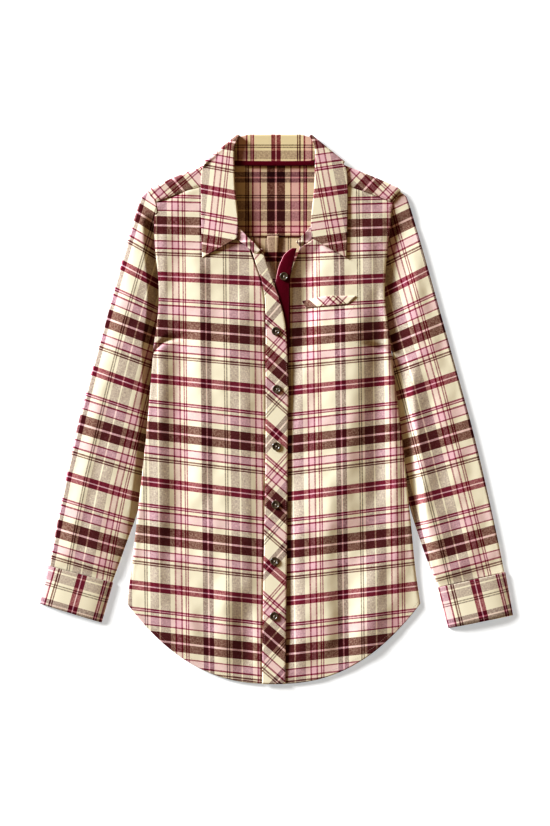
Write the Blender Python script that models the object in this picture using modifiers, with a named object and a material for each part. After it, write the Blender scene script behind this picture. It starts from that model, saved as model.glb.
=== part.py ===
"""A plaid flannel shirt tunic lying flat, front up, as cut and sewn panels of thin cloth.

Metres, +Z up. The tunic lies on its back panel: +Y runs from hem to collar and +X to the wearer's
left. Every panel is a sheet laid out from its seam lines and then given its thickness.
"""

import math
from collections import namedtuple

import bmesh
import bpy
import numpy as np

# Driving dimensions: walls of cloth, of folded bands and of tape, and the gap at seams

CLOTH = 0.0016
BAND = 0.0020
TRIM = 0.0010
SEAM_GAP = 0.0003

# Shift that brings the middle of the finished outline over the origin

LAYOUT_SHIFT = (0.00026, 0.00128, 0.0)

# Body outline at the armholes and side seams, from hem corner to shoulder, with the height of the
# front's underside along that edge

BodyLevel = namedtuple("BodyLevel", "y right_x left_x edge_z chest_z")
BODY_LEVELS = [
    BodyLevel(-0.277, -0.2120, 0.2040, 0.0021, 0.0026),
    BodyLevel(-0.244, -0.2080, 0.1990, 0.0023, 0.0032),
    BodyLevel(-0.159, -0.1980, 0.1900, 0.0026, 0.0040),
    BodyLevel(-0.045, -0.1855, 0.1785, 0.0028, 0.0046),
    BodyLevel(0.054, -0.1770, 0.1660, 0.0032, 0.0049),
    BodyLevel(0.090, -0.1740, 0.1620, 0.0036, 0.0050),
    BodyLevel(0.125, -0.1690, 0.1575, 0.0042, 0.0050),
    BodyLevel(0.154, -0.1670, 0.1540, 0.0046, 0.0050),
    BodyLevel(0.189, -0.1680, 0.1545, 0.0048, 0.0050),
    BodyLevel(0.225, -0.1720, 0.1575, 0.0049, 0.0050),
    BodyLevel(0.260, -0.1735, 0.1620, 0.0049, 0.0050),
    BodyLevel(0.291, -0.1740, 0.1660, 0.0049, 0.0050),
    BodyLevel(0.308, -0.1820, 0.1770, 0.0049, 0.0050),
]
HEM_CORNER_Y = -0.277
HEM_DROP = 0.114
HEM_CURVE = 2.4
HEM_CENTRE_X = -0.004
SIDE_ROLL = 0.045

# Front closing: the seam and the free edge of the two bands, from hem to neck

BandLevel = namedtuple("BandLevel", "y seam_x edge_x under_z edge_dip")
PLACKET_LEVELS = [
    BandLevel(-0.3905, -0.0205, 0.0130, 0.0044, 0.0),
    BandLevel(-0.272, -0.0190, 0.0140, 0.0044, 0.0),
    BandLevel(-0.159, -0.0170, 0.0155, 0.0044, 0.0),
    BandLevel(-0.059, -0.0155, 0.0160, 0.0044, 0.0),
    BandLevel(0.069, -0.0155, 0.0160, 0.0046, 0.0),
    BandLevel(0.128, -0.0155, 0.0110, 0.0050, 0.0),
    BandLevel(0.154, -0.0165, 0.0045, 0.0052, 0.0),
    BandLevel(0.181, -0.0210, -0.0055, 0.0054, 0.0002),
    BandLevel(0.204, -0.0290, -0.0135, 0.0051, 0.0008),
    BandLevel(0.226, -0.0360, -0.0200, 0.0050, 0.0008),
]
FACING_LEVELS = [
    BandLevel(-0.3900, 0.0100, -0.0150, 0.0020, 0.0),
    BandLevel(-0.059, 0.0100, -0.0150, 0.0020, 0.0),
    BandLevel(0.012, 0.0120, -0.0150, 0.0020, 0.0),
    BandLevel(0.060, 0.0165, -0.0135, 0.0022, 0.0),
    BandLevel(0.097, 0.0185, -0.0115, 0.0025, 0.0),
    BandLevel(0.154, 0.0190, -0.0060, 0.0028, 0.0),
    BandLevel(0.180, 0.0190, -0.0015, 0.0029, 0.0),
    BandLevel(0.208, 0.0240, 0.0060, 0.0036, 0.0),
    BandLevel(0.221, 0.0270, 0.0140, 0.0040, 0.0),
    BandLevel(0.2265, 0.0285, 0.0215, 0.0042, 0.0),
]
CLOSING_FLAT = 0.008
CLOSING_RAMP = 0.026
CLOSING_RIGHT_Z = 0.0046
CLOSING_LEFT_Z = 0.0020
CLOSING_LEFT_RISE = 0.0022
CLOSING_RISE_Y = 0.080
CLOSING_RISE_SPAN = 0.100

# Neck: the round neck seam of the fronts, half widths about the collar's middle

COLLAR_MIDDLE = -0.0030
NeckPoint = namedtuple("NeckPoint", "half y")
NECK_SEAM = [
    NeckPoint(0.0880, 0.3200),
    NeckPoint(0.0853, 0.2925),
    NeckPoint(0.0768, 0.2672),
    NeckPoint(0.0634, 0.2470),
    NeckPoint(0.0502, 0.2357),
    NeckPoint(0.0357, 0.2276),
]

# Yoke: back seam, shoulder rolls and the seams it has on the fronts

YOKE_SEAM_Y = 0.247
SHOULDER_NECK_HALF = 0.0880
SHOULDER_NECK_Y = 0.3470
SHOULDER_ARM_Y = 0.3080
FRONT_SEAM_ARM_Y = 0.2915
SHOULDER_SLOPE = 0.37
SHOULDER_INSET = 0.0018
SHOULDER_INSET_Y = 0.290
SHOULDER_INSET_SPAN = 0.014
YOKE_TOP_Z = 0.0059
YOKE_NECK_LIFT = 0.0026
YOKE_LIFT_Y = 0.318
YOKE_LIFT_SPAN = 0.026

# Collar: fold line and outer edge from the shoulder crease to the front end, half widths about
# the collar's middle

CollarRow = namedtuple("CollarRow", "fold_half fold_y edge_half edge_y")
LEAF_FRONT = [
    CollarRow(0.0510, 0.3830, 0.0975, 0.3465),
    CollarRow(0.0580, 0.3670, 0.1030, 0.3350),
    CollarRow(0.0585, 0.3380, 0.1040, 0.3120),
    CollarRow(0.0575, 0.3100, 0.1040, 0.2880),
    CollarRow(0.0545, 0.2820, 0.1035, 0.2620),
    CollarRow(0.0525, 0.2600, 0.1030, 0.2360),
    CollarRow(0.0535, 0.2400, 0.1020, 0.2130),
]
STAND_FRONT = [
    CollarRow(0.0537, 0.3803, 0.0800, 0.3575),
    CollarRow(0.0605, 0.3655, 0.0845, 0.3430),
    CollarRow(0.0602, 0.3380, 0.0863, 0.3200),
    CollarRow(0.0590, 0.3100, 0.0833, 0.2930),
    CollarRow(0.0560, 0.2820, 0.0753, 0.2680),
    CollarRow(0.0530, 0.2610, 0.0623, 0.2480),
    CollarRow(0.0420, 0.2470, 0.0497, 0.2370),
    CollarRow(0.0310, 0.2360, 0.0352, 0.2286),
]
LEAF_BACK_FOLD_Y = 0.3860
LEAF_BACK_EDGE_Y = 0.3495
LEAF_UNDER_Z = 0.0010
LEAF_OVER_Z = 0.0082
LEAF_FOLD_ROLL = 0.0016
LEAF_ROLL_TURN = math.radians(140.0)
LEAF_END_TURN = math.radians(25.0)
STAND_BACK_FOLD_Y = 0.3848
STAND_BACK_NECK_Y = 0.3478
STAND_UNDER_Z = 0.0034
STAND_OVER_Z = 0.0059

# Sleeves: outer and inner folded edges from armhole to cuff seam, with the height at the outer
# edge, the middle and the inner edge

SleeveRow = namedtuple("SleeveRow", "outer_x outer_y inner_x inner_y outer_z crown_z inner_z")
SLEEVE_RIGHT = [
    SleeveRow(-0.1860, 0.3110, -0.1765, 0.0930, 0.0052, 0.0044, 0.0040),
    SleeveRow(-0.1965, 0.2850, -0.1772, 0.0860, 0.0056, 0.0050, 0.0040),
    SleeveRow(-0.2120, 0.2350, -0.1780, 0.0770, 0.0058, 0.0062, 0.0040),
    SleeveRow(-0.2290, 0.1720, -0.1774, 0.0670, 0.0060, 0.0068, 0.0042),
    SleeveRow(-0.2460, 0.1080, -0.1786, 0.0550, 0.0060, 0.0070, 0.0044),
    SleeveRow(-0.2640, 0.0450, -0.1814, 0.0220, 0.0060, 0.0070, 0.0048),
    SleeveRow(-0.2820, -0.0240, -0.1876, -0.0490, 0.0060, 0.0070, 0.0052),
    SleeveRow(-0.2985, -0.0990, -0.1966, -0.1300, 0.0060, 0.0070, 0.0056),
    SleeveRow(-0.3130, -0.1730, -0.2180, -0.2030, 0.0060, 0.0068, 0.0060),
    SleeveRow(-0.3225, -0.2245, -0.2335, -0.2480, 0.0060, 0.0066, 0.0060),
]
SLEEVE_LEFT = [
    SleeveRow(0.1810, 0.3090, 0.1670, 0.0900, 0.0052, 0.0044, 0.0040),
    SleeveRow(0.1890, 0.2870, 0.1680, 0.0840, 0.0056, 0.0050, 0.0040),
    SleeveRow(0.2030, 0.2400, 0.1690, 0.0760, 0.0058, 0.0062, 0.0040),
    SleeveRow(0.2200, 0.1800, 0.1668, 0.0670, 0.0060, 0.0068, 0.0042),
    SleeveRow(0.2385, 0.1140, 0.1682, 0.0550, 0.0060, 0.0070, 0.0044),
    SleeveRow(0.2565, 0.0490, 0.1722, 0.0220, 0.0060, 0.0070, 0.0048),
    SleeveRow(0.2755, -0.0200, 0.1808, -0.0480, 0.0060, 0.0070, 0.0052),
    SleeveRow(0.2935, -0.0940, 0.1888, -0.1240, 0.0060, 0.0070, 0.0056),
    SleeveRow(0.3115, -0.1750, 0.2105, -0.2040, 0.0060, 0.0068, 0.0060),
    SleeveRow(0.3235, -0.2340, 0.2300, -0.2550, 0.0060, 0.0066, 0.0060),
]
ARMHOLE_FADE = 0.30
CAP_FADE = 0.06
CUFF_WIDEN = 0.0015
CUFF_TOP_Z = 0.0070
CUFF_RIGHT_END = SleeveRow(-0.3360, -0.2770, -0.2480, -0.3040, 0.0066, 0.0070, 0.0066)
CUFF_LEFT_END = SleeveRow(0.3355, -0.2935, 0.2440, -0.3120, 0.0066, 0.0070, 0.0066)

# Folds of the fronts: soft ridges running up from the hem, and the fullness over the bust darts

Fold = namedtuple("Fold", "hem_x top_x top_y width height")
FRONT_FOLDS = [
    Fold(-0.165, -0.140, 0.020, 0.016, 0.0010),
    Fold(-0.110, -0.095, 0.060, 0.018, 0.0012),
    Fold(-0.062, -0.060, 0.000, 0.015, 0.0009),
    Fold(0.055, 0.060, 0.010, 0.016, 0.0010),
    Fold(0.108, 0.098, 0.050, 0.018, 0.0012),
    Fold(0.160, 0.135, 0.020, 0.015, 0.0009),
]
Dart = namedtuple("Dart", "side_x side_y tip_x tip_y depth")
DARTS = [
    Dart(-0.176, 0.083, -0.123, 0.100, 0.0009),
    Dart(0.164, 0.079, 0.118, 0.092, 0.0009),
]
DART_WIDTH = 0.009

# Back pleat, neck tape, pocket welt and buttons

BACK_HEM_SHORTER = 0.002
PLEAT_X = -0.005
PLEAT_HALF = 0.009
PLEAT_OVERHANG = 0.0062
PLEAT_HEIGHT = 0.0046
PLEAT_END_Y = 0.170
TAPE_HALF = 0.0530
TAPE_LOW_Y = 0.3435
TAPE_HIGH_Y = 0.3500
TAPE_UNDER_Z = 0.0046
WeltEnd = namedtuple("WeltEnd", "low_x low_y high_x high_y")
WELT_ENDS = [
    WeltEnd(0.0410, 0.1420, 0.0365, 0.1520),
    WeltEnd(0.0700, 0.1445, 0.0720, 0.1585),
    WeltEnd(0.1010, 0.1475, 0.1130, 0.1590),
]
ButtonPlace = namedtuple("ButtonPlace", "name x y")
FACING_BUTTON = ButtonPlace("button_1", 0.0105, 0.1865)
BAND_BUTTONS = [
    ButtonPlace("button_2", -0.0010, 0.1090),
    ButtonPlace("button_3", 0.0003, 0.0270),
    ButtonPlace("button_4", -0.0002, -0.0540),
    ButtonPlace("button_5", -0.0012, -0.1365),
    ButtonPlace("button_6", -0.0030, -0.2165),
    ButtonPlace("button_7", -0.0035, -0.2945),
]
ProfilePoint = namedtuple("ProfilePoint", "radius height")
BUTTON_PROFILE = [
    ProfilePoint(0.0000, 0.0000),
    ProfilePoint(0.0046, 0.0000),
    ProfilePoint(0.0060, 0.0010),
    ProfilePoint(0.0056, 0.0022),
    ProfilePoint(0.0046, 0.0024),
    ProfilePoint(0.0036, 0.0017),
    ProfilePoint(0.0000, 0.0016),
]
BUTTON_STEPS = 16

# Divisions of the sheets, in the order that each one runs through its stretches

BACK_COLUMNS = (5, 16, 5)
BACK_ROWS = 14
FRONT_COLUMNS = (8, 6)
FRONT_ROWS = 24
BAND_COLUMNS = 3
BAND_ROWS = 24
YOKE_COLUMNS = (7, 8, 7)
YOKE_ROWS = (5, 4, 5)
COLLAR_COLUMNS = (7, 4, 12, 4, 7)
STAND_ROWS = 3
LEAF_ROWS = (2, 4)
TUBE_COLUMNS = (7, 3, 7, 3)
SLEEVE_ROWS = 16
CUFF_ROWS = 3

# Colours and surfaces

Finish = namedtuple("Finish", "colour roughness metallic")
FLANNEL = Finish((0.56, 0.44, 0.36), 0.92, 0.0)
FLANNEL_SHADE = Finish((0.36, 0.26, 0.20), 0.92, 0.0)
BURGUNDY = Finish((0.10, 0.008, 0.022), 0.85, 0.0)
HORN = Finish((0.10, 0.08, 0.07), 0.35, 0.0)


def smooth(value):
    """Ease from 0 to 1 with level ends."""
    t = np.clip(value, 0.0, 1.0)
    return t * t * (3.0 - 2.0 * t)


def curve(keys, values, at):
    """Smooth curve through table values: cubics whose slopes come from both neighbours."""
    keys = np.asarray(keys, dtype=float)
    values = np.asarray(values, dtype=float)
    slopes = np.gradient(values, keys)
    index = np.clip(np.searchsorted(keys, at) - 1, 0, len(keys) - 2)
    span = keys[index + 1] - keys[index]
    t = np.clip((at - keys[index]) / span, 0.0, 1.0)
    start = values[index] * (1.0 + 2.0 * t) * (1.0 - t) ** 2 + slopes[index] * span * t * (1.0 - t) ** 2
    end = values[index + 1] * t * t * (3.0 - 2.0 * t) - slopes[index + 1] * span * t * t * (1.0 - t)
    return start + end


def level(table, name, y):
    """Value of one named column of a table of levels at height y of the layout."""
    return curve([row.y for row in table], [getattr(row, name) for row in table], y)


def station(table, name, fraction):
    """Value of one named column at a fraction of the way down a table of sections."""
    places = np.linspace(0.0, 1.0, len(table))
    return curve(places, [getattr(row, name) for row in table], fraction)


def hem_y(x):
    """Shirt-tail hem: from the side corners it falls steeply, then levels out at the middle."""
    half = np.where(x < HEM_CENTRE_X, HEM_CENTRE_X - BODY_LEVELS[0].right_x,
                    BODY_LEVELS[0].left_x - HEM_CENTRE_X)
    inward = np.clip(1.0 - abs(x - HEM_CENTRE_X) / half, 0.0, 1.0)
    return HEM_CORNER_Y - HEM_DROP * (1.0 - (1.0 - inward) ** HEM_CURVE)


def front_under_z(x, y):
    """Underside of the fronts: low at the side seams, lofted at the chest, with folds and darts."""
    right_side = x < COLLAR_MIDDLE
    edge_x = level(BODY_LEVELS, "right_x" if right_side else "left_x", y)
    rise = smooth(abs(x - edge_x) / SIDE_ROLL)
    edge_z = level(BODY_LEVELS, "edge_z", y)
    z = edge_z + (level(BODY_LEVELS, "chest_z", y) - edge_z) * rise
    for fold in FRONT_FOLDS:
        climb = (y - hem_y(fold.hem_x)) / (fold.top_y - hem_y(fold.hem_x))
        middle = fold.hem_x + (fold.top_x - fold.hem_x) * climb
        z += fold.height * (1.0 - smooth(climb)) * math.exp(-((x - middle) / fold.width) ** 2)
    for dart in DARTS:
        along = (x - dart.side_x) / (dart.tip_x - dart.side_x)
        across = y - dart.side_y - (dart.tip_y - dart.side_y) * along
        reach = 1.0 - smooth((along - 0.5) / 0.6)
        z -= dart.depth * rise * reach * math.exp(-(across / DART_WIDTH) ** 2)
    return z + closing_step(x, y, right_side)


def closing_step(x, y, right_side):
    """Change of height beside the closing: the left front dips to pass under the placket band."""
    high = smooth((y - CLOSING_RISE_Y) / CLOSING_RISE_SPAN)
    seam = level(PLACKET_LEVELS, "seam_x", y) if right_side else level(FACING_LEVELS, "seam_x", y)
    near = 1.0 - smooth((abs(x - seam) - CLOSING_FLAT) / CLOSING_RAMP)
    target = CLOSING_RIGHT_Z if right_side else CLOSING_LEFT_Z + CLOSING_LEFT_RISE * high
    return near * (target - level(BODY_LEVELS, "chest_z", y))


def yoke_under_z(y):
    """Underside of the back yoke, which lifts near the neck seam to pass over the collar."""
    return YOKE_NECK_LIFT * smooth((y - YOKE_LIFT_Y) / YOKE_LIFT_SPAN)


def patch(bottom, top, left, right):
    """Flat panel between four seam lines, each a function of 0 to 1 giving a point (x, y)."""
    corner_00, corner_10 = np.array(bottom(0.0)), np.array(bottom(1.0))
    corner_01, corner_11 = np.array(top(0.0)), np.array(top(1.0))

    def place(u, v):
        sides = (1.0 - u) * np.array(left(v)) + u * np.array(right(v))
        ends = (1.0 - v) * np.array(bottom(u)) + v * np.array(top(u))
        low = (1.0 - u) * corner_00 + u * corner_10
        high = (1.0 - u) * corner_01 + u * corner_11
        return sides + ends - (1.0 - v) * low - v * high

    return place


def make_material(name, finish):
    """Plain surface with the piece's colour and roughness."""
    material = bpy.data.materials.new(name)
    material.use_nodes = True
    shader = material.node_tree.nodes["Principled BSDF"]
    shader.inputs["Base Color"].default_value = (*finish.colour, 1.0)
    shader.inputs["Roughness"].default_value = finish.roughness
    shader.inputs["Metallic"].default_value = finish.metallic
    material.diffuse_color = (*finish.colour, 1.0)
    return material


def finish_object(name, mesh, finish):
    """Put a mesh in the tunic's collection, under its root, with a material of its own."""
    mesh.materials.append(make_material(name, finish))
    mesh.polygons.foreach_set("use_smooth", [True] * len(mesh.polygons))
    piece = bpy.data.objects.new(name, mesh)
    piece.parent = root
    collection.objects.link(piece)
    return piece


def cloth(name, surface, columns, rows, finish, wall=CLOTH, side=1.0, closed=False, keep=None):
    """Sheet of cloth: a grid placed by surface(u, v) and thickened to one side of it, or to both."""
    mesh = bpy.data.meshes.new(name)
    sheet = bmesh.new()
    bmesh.ops.create_grid(sheet, x_segments=columns, y_segments=rows, size=0.5)
    if keep is not None:
        spare = []
        for face in sheet.faces:
            middle = face.calc_center_median()
            if not keep(middle.x + 0.5, middle.y + 0.5):
                spare.append(face)
        bmesh.ops.delete(sheet, geom=spare, context="FACES")
    for vert in sheet.verts:
        vert.co = surface(vert.co.x + 0.5, vert.co.y + 0.5)
    if closed:
        bmesh.ops.remove_doubles(sheet, verts=sheet.verts, dist=0.00001)
    sheet.to_mesh(mesh)
    sheet.free()
    piece = finish_object(name, mesh, finish)
    thick = piece.modifiers.new("wall", "SOLIDIFY")
    thick.thickness = wall
    thick.offset = side
    return piece


def back_surface(u, v):
    """Back panel with its box pleat: an omega-shaped fold that opens out below the yoke."""
    side_share = BACK_COLUMNS[0] / sum(BACK_COLUMNS)
    sign = -1.0 if u < 0.5 else 1.0
    side = "right_x" if sign < 0 else "left_x"
    outward = max(abs(u - 0.5) - 0.5 + side_share, 0.0) / side_share
    turn = sign * math.pi * min(abs(u - 0.5) / (0.5 - side_share), 1.0)
    base_x = PLEAT_X + PLEAT_HALF * turn / math.pi
    hem_x = base_x + (getattr(BODY_LEVELS[0], side) - base_x) * outward
    low_y = hem_y(hem_x) + BACK_HEM_SHORTER
    y = low_y + (YOKE_SEAM_Y - SEAM_GAP - low_y) * v
    depth = smooth((y - PLEAT_END_Y) / (YOKE_SEAM_Y - PLEAT_END_Y))
    x = base_x + PLEAT_OVERHANG * depth * math.sin(2.0 * turn)
    x += (level(BODY_LEVELS, side, y) - x) * outward
    z = CLOTH / 2.0 + PLEAT_HEIGHT * depth * (1.0 + math.cos(turn)) / 2.0
    return (x, y, z)


def front_surface(sign):
    """One front between side seam, closing seam, hem, yoke seam and round neck seam."""
    side = "right_x" if sign < 0 else "left_x"
    bands = PLACKET_LEVELS if sign < 0 else FACING_LEVELS
    neck_share = FRONT_COLUMNS[0] / sum(FRONT_COLUMNS)
    arm = (level(BODY_LEVELS, side, FRONT_SEAM_ARM_Y), FRONT_SEAM_ARM_Y - SEAM_GAP)

    def neck_point(fraction):
        half = station(NECK_SEAM, "half", fraction)
        return (COLLAR_MIDDLE + sign * half, station(NECK_SEAM, "y", fraction))

    neck_start = neck_point(0.0)
    neck_end = neck_point(1.0)
    hem_start = BODY_LEVELS[0].right_x if sign < 0 else BODY_LEVELS[0].left_x
    hem_end = bands[0].seam_x + sign * SEAM_GAP

    def hem_line(u):
        x = hem_start + (hem_end - hem_start) * u
        return (x, hem_y(x))

    def top_line(u):
        if u <= neck_share:
            return tuple(a + (b - a) * u / neck_share for a, b in zip(arm, neck_start))
        return neck_point((u - neck_share) / (1.0 - neck_share))

    def side_line(v):
        y = HEM_CORNER_Y + (arm[1] - HEM_CORNER_Y) * v
        return (level(BODY_LEVELS, side, y), y)

    def closing_line(v):
        low = hem_line(1.0)[1]
        y = low + (neck_end[1] - low) * v
        return (level(bands, "seam_x", y) + sign * SEAM_GAP, y)

    def closing_to_neck(v):
        x, y = closing_line(v)
        return (x + (neck_end[0] - closing_line(1.0)[0]) * smooth((v - 0.9) / 0.1), y)

    plan = patch(hem_line, top_line, side_line, closing_to_neck)

    def surface(u, v):
        x, y = plan(u, v)
        return (x, y, front_under_z(x, y))

    return surface


def band_surface(table, sign):
    """Strip along the closing, from its seam to its free edge."""
    def surface(u, v):
        y = table[0].y + (table[-1].y - table[0].y) * v
        seam = level(table, "seam_x", y)
        edge = level(table, "edge_x", y)
        dip = level(table, "edge_dip", y) * smooth(u)
        x = seam + (edge - seam) * u
        settle = (hem_y(x) - table[0].y) * (1.0 - smooth(v / 0.1))
        return (x, y + settle, level(table, "under_z", y) - dip)

    if sign > 0:
        return surface
    return lambda u, v: surface(1.0 - u, v)


def yoke_surface(u, v):
    """Yoke from its back seam up to the shoulders, rolled over them and down to the front seams."""
    arm_share = YOKE_COLUMNS[0] / sum(YOKE_COLUMNS)
    back_share = YOKE_ROWS[0] / sum(YOKE_ROWS)
    roll_share = sum(YOKE_ROWS[:2]) / sum(YOKE_ROWS)
    sign = -1.0 if u < 0.5 else 1.0
    side = "right_x" if sign < 0 else "left_x"
    inward = min(u, 1.0 - u)
    reach = min(inward / arm_share, 1.0)
    across = max(inward - arm_share, 0.0) / (0.5 - arm_share)
    neck_x = COLLAR_MIDDLE + sign * SHOULDER_NECK_HALF * (1.0 - across)
    top_y = SHOULDER_ARM_Y + (SHOULDER_NECK_Y - SHOULDER_ARM_Y) * reach
    rise = min(v / back_share, 1.0)
    y = YOKE_SEAM_Y + (top_y - YOKE_SEAM_Y) * rise
    inset = SHOULDER_INSET * smooth((y - SHOULDER_INSET_Y) / SHOULDER_INSET_SPAN)
    edge_x = level(BODY_LEVELS, side, y) - sign * inset
    x = edge_x + (neck_x - edge_x) * reach
    under = yoke_under_z(y) + CLOTH / 2.0
    if v <= back_share:
        return (x, y, under)
    over = YOKE_TOP_Z
    radius = (over - under) / 2.0
    turn = min((v - back_share) / (roll_share - back_share), 1.0) * math.pi
    x += sign * SHOULDER_SLOPE * min(3.0 * reach, 1.0) * radius * math.sin(turn)
    y += radius * math.sin(turn)
    z = (over + under) / 2.0 - radius * math.cos(turn)
    if v > roll_share:
        fall = (v - roll_share) / (1.0 - roll_share)
        seam_y = FRONT_SEAM_ARM_Y + (NECK_SEAM[0].y - FRONT_SEAM_ARM_Y) * reach + SEAM_GAP
        seam_edge = level(BODY_LEVELS, side, seam_y)
        seam_x = seam_edge + (COLLAR_MIDDLE + sign * NECK_SEAM[0].half - seam_edge) * reach
        x += (seam_x - x) * fall
        y += (seam_y - y) * fall
    return (x, y, z)


def yoke_keep(u, v):
    """The yoke has no shoulder roll where the neck is cut out."""
    arm_share = YOKE_COLUMNS[0] / sum(YOKE_COLUMNS)
    return v < YOKE_ROWS[0] / sum(YOKE_ROWS) or not arm_share < u < 1.0 - arm_share


def collar_surface(table, back_fold_y, back_edge_y, under_z, over_z, fold_roll):
    """Strip round the neck: over the fronts, round the shoulder creases and under the back."""
    front_share = COLLAR_COLUMNS[0] / sum(COLLAR_COLUMNS)
    crease_share = sum(COLLAR_COLUMNS[:2]) / sum(COLLAR_COLUMNS)

    def place(u, across):
        sign = -1.0 if u < 0.5 else 1.0
        inward = min(u, 1.0 - u)
        along = max(1.0 - inward / front_share, 0.0)
        fold = np.array((station(table, "fold_half", along), station(table, "fold_y", along)))
        edge = np.array((station(table, "edge_half", along), station(table, "edge_y", along)))
        turn = min(max((inward - front_share) / (crease_share - front_share), 0.0), 1.0) * math.pi
        behind = max(inward - crease_share, 0.0) / (0.5 - crease_share)
        if behind > 0.0:
            fold_y = fold[1] + (back_fold_y - fold[1]) * smooth(behind)
            edge_y = edge[1] + (back_edge_y - edge[1]) * smooth(2.0 * behind)
            fold = np.array((fold[0] * (1.0 - behind), fold_y))
            edge = np.array((edge[0] * (1.0 - behind), edge_y))
        crease = edge - fold
        down = crease / np.linalg.norm(crease)
        radius = (over_z - under_z) / 2.0
        out_plan = math.sin(turn) * np.array((-down[1], down[0]))
        out_z = math.cos(turn)
        plan = fold + crease * across + radius * out_plan
        point = np.array((plan[0], plan[1], (over_z + under_z) / 2.0 + radius * out_z))
        return sign, point, np.array((*down, 0.0)), np.array((*out_plan, out_z))

    def surface(u, v):
        roll_rows = LEAF_ROWS[0] / sum(LEAF_ROWS) if fold_roll > 0.0 else 0.0
        across = max(v - roll_rows, 0.0) / (1.0 - roll_rows)
        sign, point, down, out = place(u, across)
        if v < roll_rows:
            along = max(1.0 - min(u, 1.0 - u) / front_share, 0.0)
            flat = smooth((along - 0.55) / 0.25)
            turn = (1.0 - v / roll_rows) * (LEAF_ROLL_TURN + (LEAF_END_TURN - LEAF_ROLL_TURN) * flat)
            point = point - down * fold_roll * math.sin(turn) - out * fold_roll * (1.0 - math.cos(turn))
        return (COLLAR_MIDDLE + sign * point[0], point[1], point[2])

    return surface


def tube_surface(table, sign, armhole):
    """Flattened tube: over the top, round the inner fold, back underneath and round the outer fold."""
    top_share, inner_share, under_share = np.cumsum(TUBE_COLUMNS[:3]) / sum(TUBE_COLUMNS)
    side = "right_x" if sign < 0 else "left_x"

    def surface(u, v):
        outer = np.array((station(table, "outer_x", v), station(table, "outer_y", v)))
        inner = np.array((station(table, "inner_x", v), station(table, "inner_y", v)))
        outer_z = float(station(table, "outer_z", v))
        crown_z = float(station(table, "crown_z", v))
        inner_z = float(station(table, "inner_z", v))
        width = np.linalg.norm(inner - outer)
        start = outer_z / 2.0
        end = width - inner_z / 2.0
        if u <= top_share:
            t = u / top_share
            along = start + (end - start) * t
            edge = outer_z + (inner_z - outer_z) * smooth(t)
            z = edge + (crown_z - (outer_z + inner_z) / 2.0) * math.sin(math.pi * t)
            z = max(z, 2.0 * CLOTH + SEAM_GAP)
        elif u <= inner_share:
            turn = (u - top_share) / (inner_share - top_share) * math.pi
            along = end + inner_z / 2.0 * math.sin(turn)
            z = inner_z / 2.0 * (1.0 + math.cos(turn))
        elif u <= under_share:
            t = (u - inner_share) / (under_share - inner_share)
            along = end + (start - end) * t
            z = 0.0
        else:
            turn = (u - under_share) / (1.0 - under_share) * math.pi
            along = start - outer_z / 2.0 * math.sin(turn)
            z = outer_z / 2.0 * (1.0 - math.cos(turn))
        plan = outer + (inner - outer) * along / width
        if armhole:
            down = min(max(along / width, 0.0), 1.0)
            fade = CAP_FADE + (ARMHOLE_FADE - CAP_FADE) * smooth(down / 0.3)
            follow = (1.0 - min(v / fade, 1.0)) ** 2
            y = outer[1] + (inner[1] - outer[1]) * down
            seam_x = level(BODY_LEVELS, side, y) + sign * 4.0 * SEAM_GAP
            plan[0] += follow * (seam_x - plan[0])
        return (plan[0], plan[1], z)

    return surface


def cuff_table(sleeve_end, cuff_end, sign):
    """Sections of a cuff: a little wider than the sleeve it closes, one seam gap further down."""
    outer = np.array((sleeve_end.outer_x, sleeve_end.outer_y))
    inner = np.array((sleeve_end.inner_x, sleeve_end.inner_y))
    across = (outer - inner) / np.linalg.norm(outer - inner)
    down = np.array((across[1], -across[0])) * sign
    down = down if down[1] < 0.0 else -down
    outer = outer + across * CUFF_WIDEN + down * 1.5 * SEAM_GAP
    inner = inner - across * CUFF_WIDEN + down * 1.5 * SEAM_GAP
    start = SleeveRow(*outer, *inner, cuff_end.outer_z, CUFF_TOP_Z, cuff_end.inner_z)
    return [start, cuff_end]


def tape_surface(u, v):
    """Tape over the inside of the back neck seam."""
    x = COLLAR_MIDDLE + TAPE_HALF * (2.0 * u - 1.0)
    return (x, TAPE_LOW_Y + (TAPE_HIGH_Y - TAPE_LOW_Y) * v, TAPE_UNDER_Z)


def welt_surface(u, v):
    """Narrow strip on the left front, raised from the front's own surface."""
    low = np.array((station(WELT_ENDS, "low_x", u), station(WELT_ENDS, "low_y", u)))
    high = np.array((station(WELT_ENDS, "high_x", u), station(WELT_ENDS, "high_y", u)))
    x, y = low + (high - low) * v
    return (x, y, front_under_z(x, y) + CLOTH + SEAM_GAP)


def make_button(place, under_z):
    """Turned button with a raised rim, standing on its band."""
    mesh = bpy.data.meshes.new(place.name)
    profile = [(point.radius, 0.0, point.height) for point in BUTTON_PROFILE]
    mesh.from_pydata(profile, [(i, i + 1) for i in range(len(profile) - 1)], [])
    button = finish_object(place.name, mesh, HORN)
    button.location = (place.x, place.y, under_z)
    turned = button.modifiers.new("turned", "SCREW")
    turned.steps = BUTTON_STEPS
    turned.render_steps = BUTTON_STEPS
    turned.use_merge_vertices = True
    turned.merge_threshold = 0.00005
    turned.use_normal_calculate = True
    return button


for leftover in list(bpy.data.objects):
    bpy.data.objects.remove(leftover, do_unlink=True)

collection = bpy.data.collections.new("flannel_tunic")
bpy.context.scene.collection.children.link(collection)
root = bpy.data.objects.new("tunic_root", None)
root.location = LAYOUT_SHIFT
collection.objects.link(root)

# Back, yoke and fronts

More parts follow.
